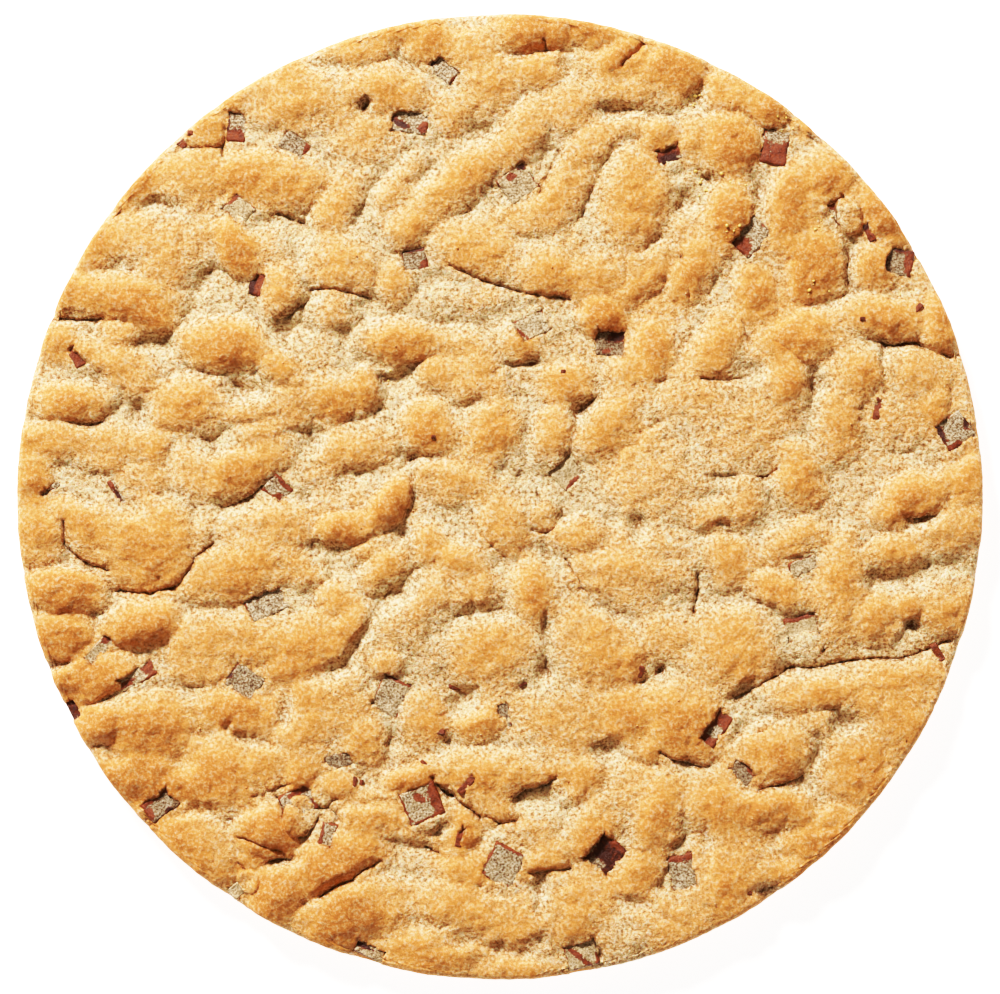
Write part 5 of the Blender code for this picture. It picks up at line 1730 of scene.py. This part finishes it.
@dataclass
class Slivers:
    """Slivers of chocolate that show between lumps, as one piece.

    Args:
        relief: The relief that they lie in.
        photo: The photograph's frame.
        finish: Their material.
        depth: How deep each reaches, in metres.
        proud: How far each stands out, in metres.
        bevel: How far the edges are bevelled, as a share of half the size.
        jitter: How far its corners stray, as a share of half the size.
        lean: How far each may lean, in radians.
        bare: How bare they are.
        dark: How dark.
        seed: The seed of their shapes.
    """

    relief: Relief
    photo: PhotoFrame
    finish: bpy.types.Material
    depth: float = 0.002
    proud: float = 0.0004
    bevel: float = 0.3
    jitter: float = 0.12
    lean: float = 0.3
    bare: float = 0.95
    dark: float = 0.3
    seed: int = 77

    def build(self) -> bpy.types.Object:
        """Makes the slivers.

        Returns:
            The joined piece.
        """
        shape = self._one()
        rough = np.random.default_rng(self.seed)
        copies = [self._copy(shape[0], sliver, rough) for sliver in SLIVERS]
        made = joined_copies("chocolate_slivers", shape, copies)
        made.data.materials.append(self.finish)
        made.data.shade_smooth()
        set_attribute(made, "bare", np.full(len(made.data.vertices), self.bare))
        set_attribute(made, "dark", np.full(len(made.data.vertices), self.dark))
        return made

    def _one(self) -> tuple[np.ndarray, np.ndarray]:
        """A block with its edges bevelled, two units across."""
        only(bpy.context.scene.objects[0])
        bpy.ops.mesh.primitive_cube_add(size=2)
        block = only(bpy.context.active_object)
        bpy.ops.object.mode_set(mode="EDIT")
        bpy.ops.mesh.select_all(action="SELECT")
        bpy.ops.mesh.bevel(offset=self.bevel, segments=2, affect="EDGES")
        bpy.ops.object.mode_set(mode="OBJECT")
        return shape_of(block)

    def _copy(self, points: np.ndarray, sliver: Sliver, rough: np.random.Generator) -> np.ndarray:
        """The block as one sliver, in its place."""
        x, y = self.photo.place(sliver.x, sliver.y)
        top = self.relief.height(x, y) + self.proud
        half = np.array([sliver.length * self.photo.pixel, sliver.width * self.photo.pixel, self.depth]) / 2
        jitter = 1 + rough.uniform(-self.jitter, self.jitter, points.shape)
        sized = points * jitter * half
        lean_x, lean_y = rough.uniform(-self.lean, self.lean), rough.uniform(-self.lean, self.lean)
        lean = Euler((lean_x, lean_y, math.radians(sliver.turn)))
        turned_points = sized @ np.array(lean.to_matrix()).T
        return turned_points + np.array([x, y, top - self.depth / 2])


@dataclass
class Crumbs:
    """Crumbs that lie on the dough, as one piece for each kind.

    Args:
        relief: The relief that they lie on.
        photo: The photograph's frame.
        stretch: The least and the most that a crumb's radius is stretched by.
        jitter: How far its corners stray, as a share of its radius.
        spin: How far it may be turned about each axis, in radians.
        clear: How high its middle lies over the dough, as a share of its radius.
        sugar_seeds: The seeds of the sugar crumbs' places and of their shapes.
        sugar_each: How many sugar crumbs lie at each spot.
        sugar_least: The radius of the smallest sugar crumb, in metres.
        sugar_vary: How much larger the largest is.
        sugar_power: The power that makes large ones rare.
        dough_seeds: The seeds of the dough crumbs' places and of their shapes.
        dough_count: How many of them there are.
        dough_tries: How many places are tried for each.
        dough_reach: How far out they lie, as a share of the cookie's radius.
        dough_sizes: The least and the greatest radius of one, in metres.
        dough_tones: The palest and the brownest of them.
        brown_limit: The browning at which none lies.
        brown_range: The range in which the chance falls.
    """

    relief: Relief
    photo: PhotoFrame
    stretch: tuple[float, float] = (0.6, 1.25)
    jitter: float = 0.2
    spin: float = 3
    clear: float = 0.35
    sugar_seeds: tuple[int, int] = (5, 6)
    sugar_each: int = 9
    sugar_least: float = 0.0002
    sugar_vary: float = 0.0005
    sugar_power: int = 3
    dough_seeds: tuple[int, int] = (8, 9)
    dough_count: int = 500
    dough_tries: int = 12
    dough_reach: float = 0.95
    dough_sizes: tuple[float, float] = (0.00018, 0.00036)
    dough_tones: tuple[float, float] = (0.1, 0.8)
    brown_limit: float = 1.1
    brown_range: float = 1.6

    def _one(self) -> tuple[np.ndarray, np.ndarray]:
        """A crumb's shape: a ball of twenty triangles."""
        only(bpy.context.scene.objects[0])
        bpy.ops.mesh.primitive_ico_sphere_add(subdivisions=1, radius=1)
        return shape_of(only(bpy.context.active_object))

    def _scatter(self, name: str, places: np.ndarray, sizes: np.ndarray, finish: bpy.types.Material,
                 seed: int) -> bpy.types.Object:
        """Makes one kind of crumb at places in pixels, with a radius each in metres."""
        shape = self._one()
        rough = np.random.default_rng(seed)
        copies = []
        for (column, row), size in zip(places, sizes):
            x, y = self.photo.place(column, row)
            stretch = rough.uniform(*self.stretch, 3) * size
            jitter = 1 + rough.uniform(-self.jitter, self.jitter, shape[0].shape)
            spin = Euler(rough.uniform(-self.spin, self.spin, 3)).to_matrix()
            points = (shape[0] * jitter * stretch) @ np.array(spin).T
            copies.append(points + np.array([x, y, self.relief.height(x, y) + self.clear * size]))
        made = joined_copies(name, shape, copies)
        made.data.materials.append(finish)
        made.data.shade_smooth()
        return made

    def build_sugar(self, finish: bpy.types.Material) -> bpy.types.Object:
        """Makes the crumbs of set sugar at their spots."""
        for_places, for_shapes = self.sugar_seeds
        rough = np.random.default_rng(for_places)
        places = [rough.normal((x, y), spread, (self.sugar_each, 2)) for x, y, spread in SUGAR_SPOTS]
        places = np.concatenate(places)
        sizes = self.sugar_least + self.sugar_vary * rough.uniform(0, 1, len(places)) ** self.sugar_power
        return self._scatter("sugar_crumbs", places, sizes, finish, for_shapes)

    def build_dough(self, finish: bpy.types.Material) -> bpy.types.Object:
        """Makes the dough crumbs, most of them in the low places."""
        for_places, for_shapes = self.dough_seeds
        rough = np.random.default_rng(for_places)
        tries = rough.uniform(-1, 1, (self.dough_count * self.dough_tries, 2))
        tries = tries[np.hypot(tries[:, 0], tries[:, 1]) < self.dough_reach]
        half = self.photo.diameter / 2
        places = tries * half + np.array([self.photo.centre_x, self.photo.centre_y])
        x, y = tries[:, 0] * half * self.photo.pixel, -tries[:, 1] * half * self.photo.pixel
        low = self.brown_limit - self.relief.read(self.relief.browning, x, y)
        kept = places[rough.uniform(0, self.brown_range, len(low)) < low][:self.dough_count]
        sizes = rough.uniform(*self.dough_sizes, len(kept))
        made = self._scatter("dough_crumbs", kept, sizes, finish, for_shapes)
        tones = rough.uniform(*self.dough_tones, len(kept))
        tones = np.repeat(tones, len(made.data.vertices) // len(kept))
        set_attribute(made, "browning", tones)
        # No painted crease shade on crumbs
        set_attribute(made, "cavity", np.zeros(len(tones)))
        return made


@dataclass(frozen=True)
class Studio:
    """A pale floor, soft light from the upper left, and a camera that looks straight down.

    Args:
        photo: The photograph's frame.
        lens: Focal length in millimetres.
        sensor: Sensor width in millimetres.
        level: Height of the cookie's outline, which the framing fits, in metres.
        key_colour: Colour of the main light.
        key_energy: Its power in watts.
        key_size: Its width and height, in metres.
        key_bearing: Where it stands, in degrees against the clock from the right.
        key_elevation: How high it stands, in degrees.
        key_distance: How far off it stands, in metres.
        fill_colour: Colour of the light from all round.
        fill: Its strength.
        table: Colour of the table.
        table_size: Its width and depth, in metres.
        table_drop: How far it lies under the cookie's foot, in metres.
        table_glow: Strength of its own glow.
    """

    photo: PhotoFrame
    lens: float = 150
    sensor: float = 36
    level: float = 0.008
    key_colour: str = "fffcf6"
    key_energy: float = 150
    key_size: float = 0.55
    key_bearing: float = 118
    key_elevation: float = 37
    key_distance: float = 3.0
    fill_colour: str = "ffe4c2"
    fill: float = 0.19
    table: str = "fdfdfc"
    table_size: float = 6
    table_drop: float = 0.0002
    table_glow: float = 1.3

    def build(self) -> None:
        """Makes the floor, the lights and the camera."""
        self._floor()
        self._key()
        self._world()
        self._camera()
        self._response()

    def _response(self) -> None:
        """The camera's response to light: deeper shadows, and a shoulder that keeps the highlights."""
        view = bpy.context.scene.view_settings
        view.view_transform = "Standard"
        view.look = "None"
        view.use_curve_mapping = True
        white = RESPONSE[-1][0]
        view.curve_mapping.white_level = (white, white, white)
        curve = view.curve_mapping.curves[COMBINED_CURVE]
        for light, shown in RESPONSE[1:-1]:
            curve.points.new(light / white, shown)
        view.curve_mapping.update()

    def _floor(self) -> None:
        """A white table that glows, so that hardly any shadow shows on it."""
        only(bpy.context.scene.objects[0])
        bpy.ops.mesh.primitive_plane_add(size=self.table_size, location=(0, 0, -self.table_drop))
        floor = only(bpy.context.active_object)
        floor.name = "floor"
        paint, _, shader = new_material("white_floor_paint")
        set_inputs(shader, {"Base Color": linear(self.table), "Roughness": 0.9,
                            "Emission Color": (1.0, 1.0, 1.0, 1.0), "Emission Strength": self.table_glow})
        floor.data.materials.append(paint)

    def _key(self) -> None:
        """The main light, a soft square up and to the left."""
        bearing, elevation = math.radians(self.key_bearing), math.radians(self.key_elevation)
        flat = math.cos(elevation)
        aim = Vector((math.cos(bearing) * flat, math.sin(bearing) * flat, math.sin(elevation)))
        light = bpy.data.lights.new("key", "AREA")
        light.energy = self.key_energy
        light.size = self.key_size
        light.color = linear(self.key_colour)[:3]
        lamp = bpy.data.objects.new("key", light)
        lamp.location = aim * self.key_distance
        lamp.rotation_euler = aim.to_track_quat("Z", "Y").to_euler()
        bpy.context.scene.collection.objects.link(lamp)

    def _world(self) -> None:
        """Even, warm light from all round."""
        world = bpy.data.worlds.new("white_tent")
        world.use_nodes = True
        background = world.node_tree.nodes["Background"]
        set_inputs(background, {"Color": linear(self.fill_colour), "Strength": self.fill})
        bpy.context.scene.world = world

    def _camera(self) -> None:
        """The camera over the cookie's middle, framed as the photograph is."""
        lens = bpy.data.cameras.new("camera")
        lens.lens = self.lens
        lens.sensor_width = self.sensor
        lens.sensor_fit = "HORIZONTAL"
        lens.clip_start = 0.01
        camera = bpy.data.objects.new("camera", lens)
        shown = self.photo.image_width * self.photo.pixel
        camera.location = (0, 0, self.level + shown * self.lens / self.sensor)
        bpy.context.scene.collection.objects.link(camera)
        bpy.context.scene.camera = camera


def dress(piece: bpy.types.Object, slot: str, *nodes: str) -> None:
    """Makes a piece ride on the body and stand for its nodes, and reports it."""
    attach(piece, BODY)
    if nodes:
        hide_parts(*nodes)
    log.info("%s: %d faces", piece.name, len(piece.data.polygons))


def main() -> None:
    """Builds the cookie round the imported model, then the studio."""
    logging.basicConfig(level=logging.INFO, format="%(name)s: %(message)s")
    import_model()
    low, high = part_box("dough")
    photo = PhotoFrame(width_m=high.x - low.x)
    tops = []
    for number in range(1, len(CHUNKS) + 1):
        corner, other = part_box(f"chocolate_chunk_{number:02d}")
        tops.append(((corner.z + other.z) / 2 + ChocolateChunk.thickness / 2) / MM)
    relief = Relief(photo, tops)
    dough_finish = BakedDough().make()
    chocolate_finish = MilkChocolate().make()
    slab = DoughSlab(relief, dough_finish, radius=(high.x - low.x) / 2).build()
    dress(slab, DOUGH_SLOT, "dough")
    for number, chunk in enumerate(CHUNKS, start=1):
        maker = ChocolateChunk(number, chunk, photo, chocolate_finish, relief.lifts[number - 1])
        dress(maker.build(), CHOCOLATE_SLOT, maker.node)
    dress(Slivers(relief, photo, chocolate_finish).build(), CHOCOLATE_SLOT)
    crumbs = Crumbs(relief, photo)
    dress(crumbs.build_sugar(SugarCrumb().make()), DOUGH_SLOT)
    dress(crumbs.build_dough(dough_finish), DOUGH_SLOT)
    Studio(photo).build()


if __name__ == "__main__":
    main()
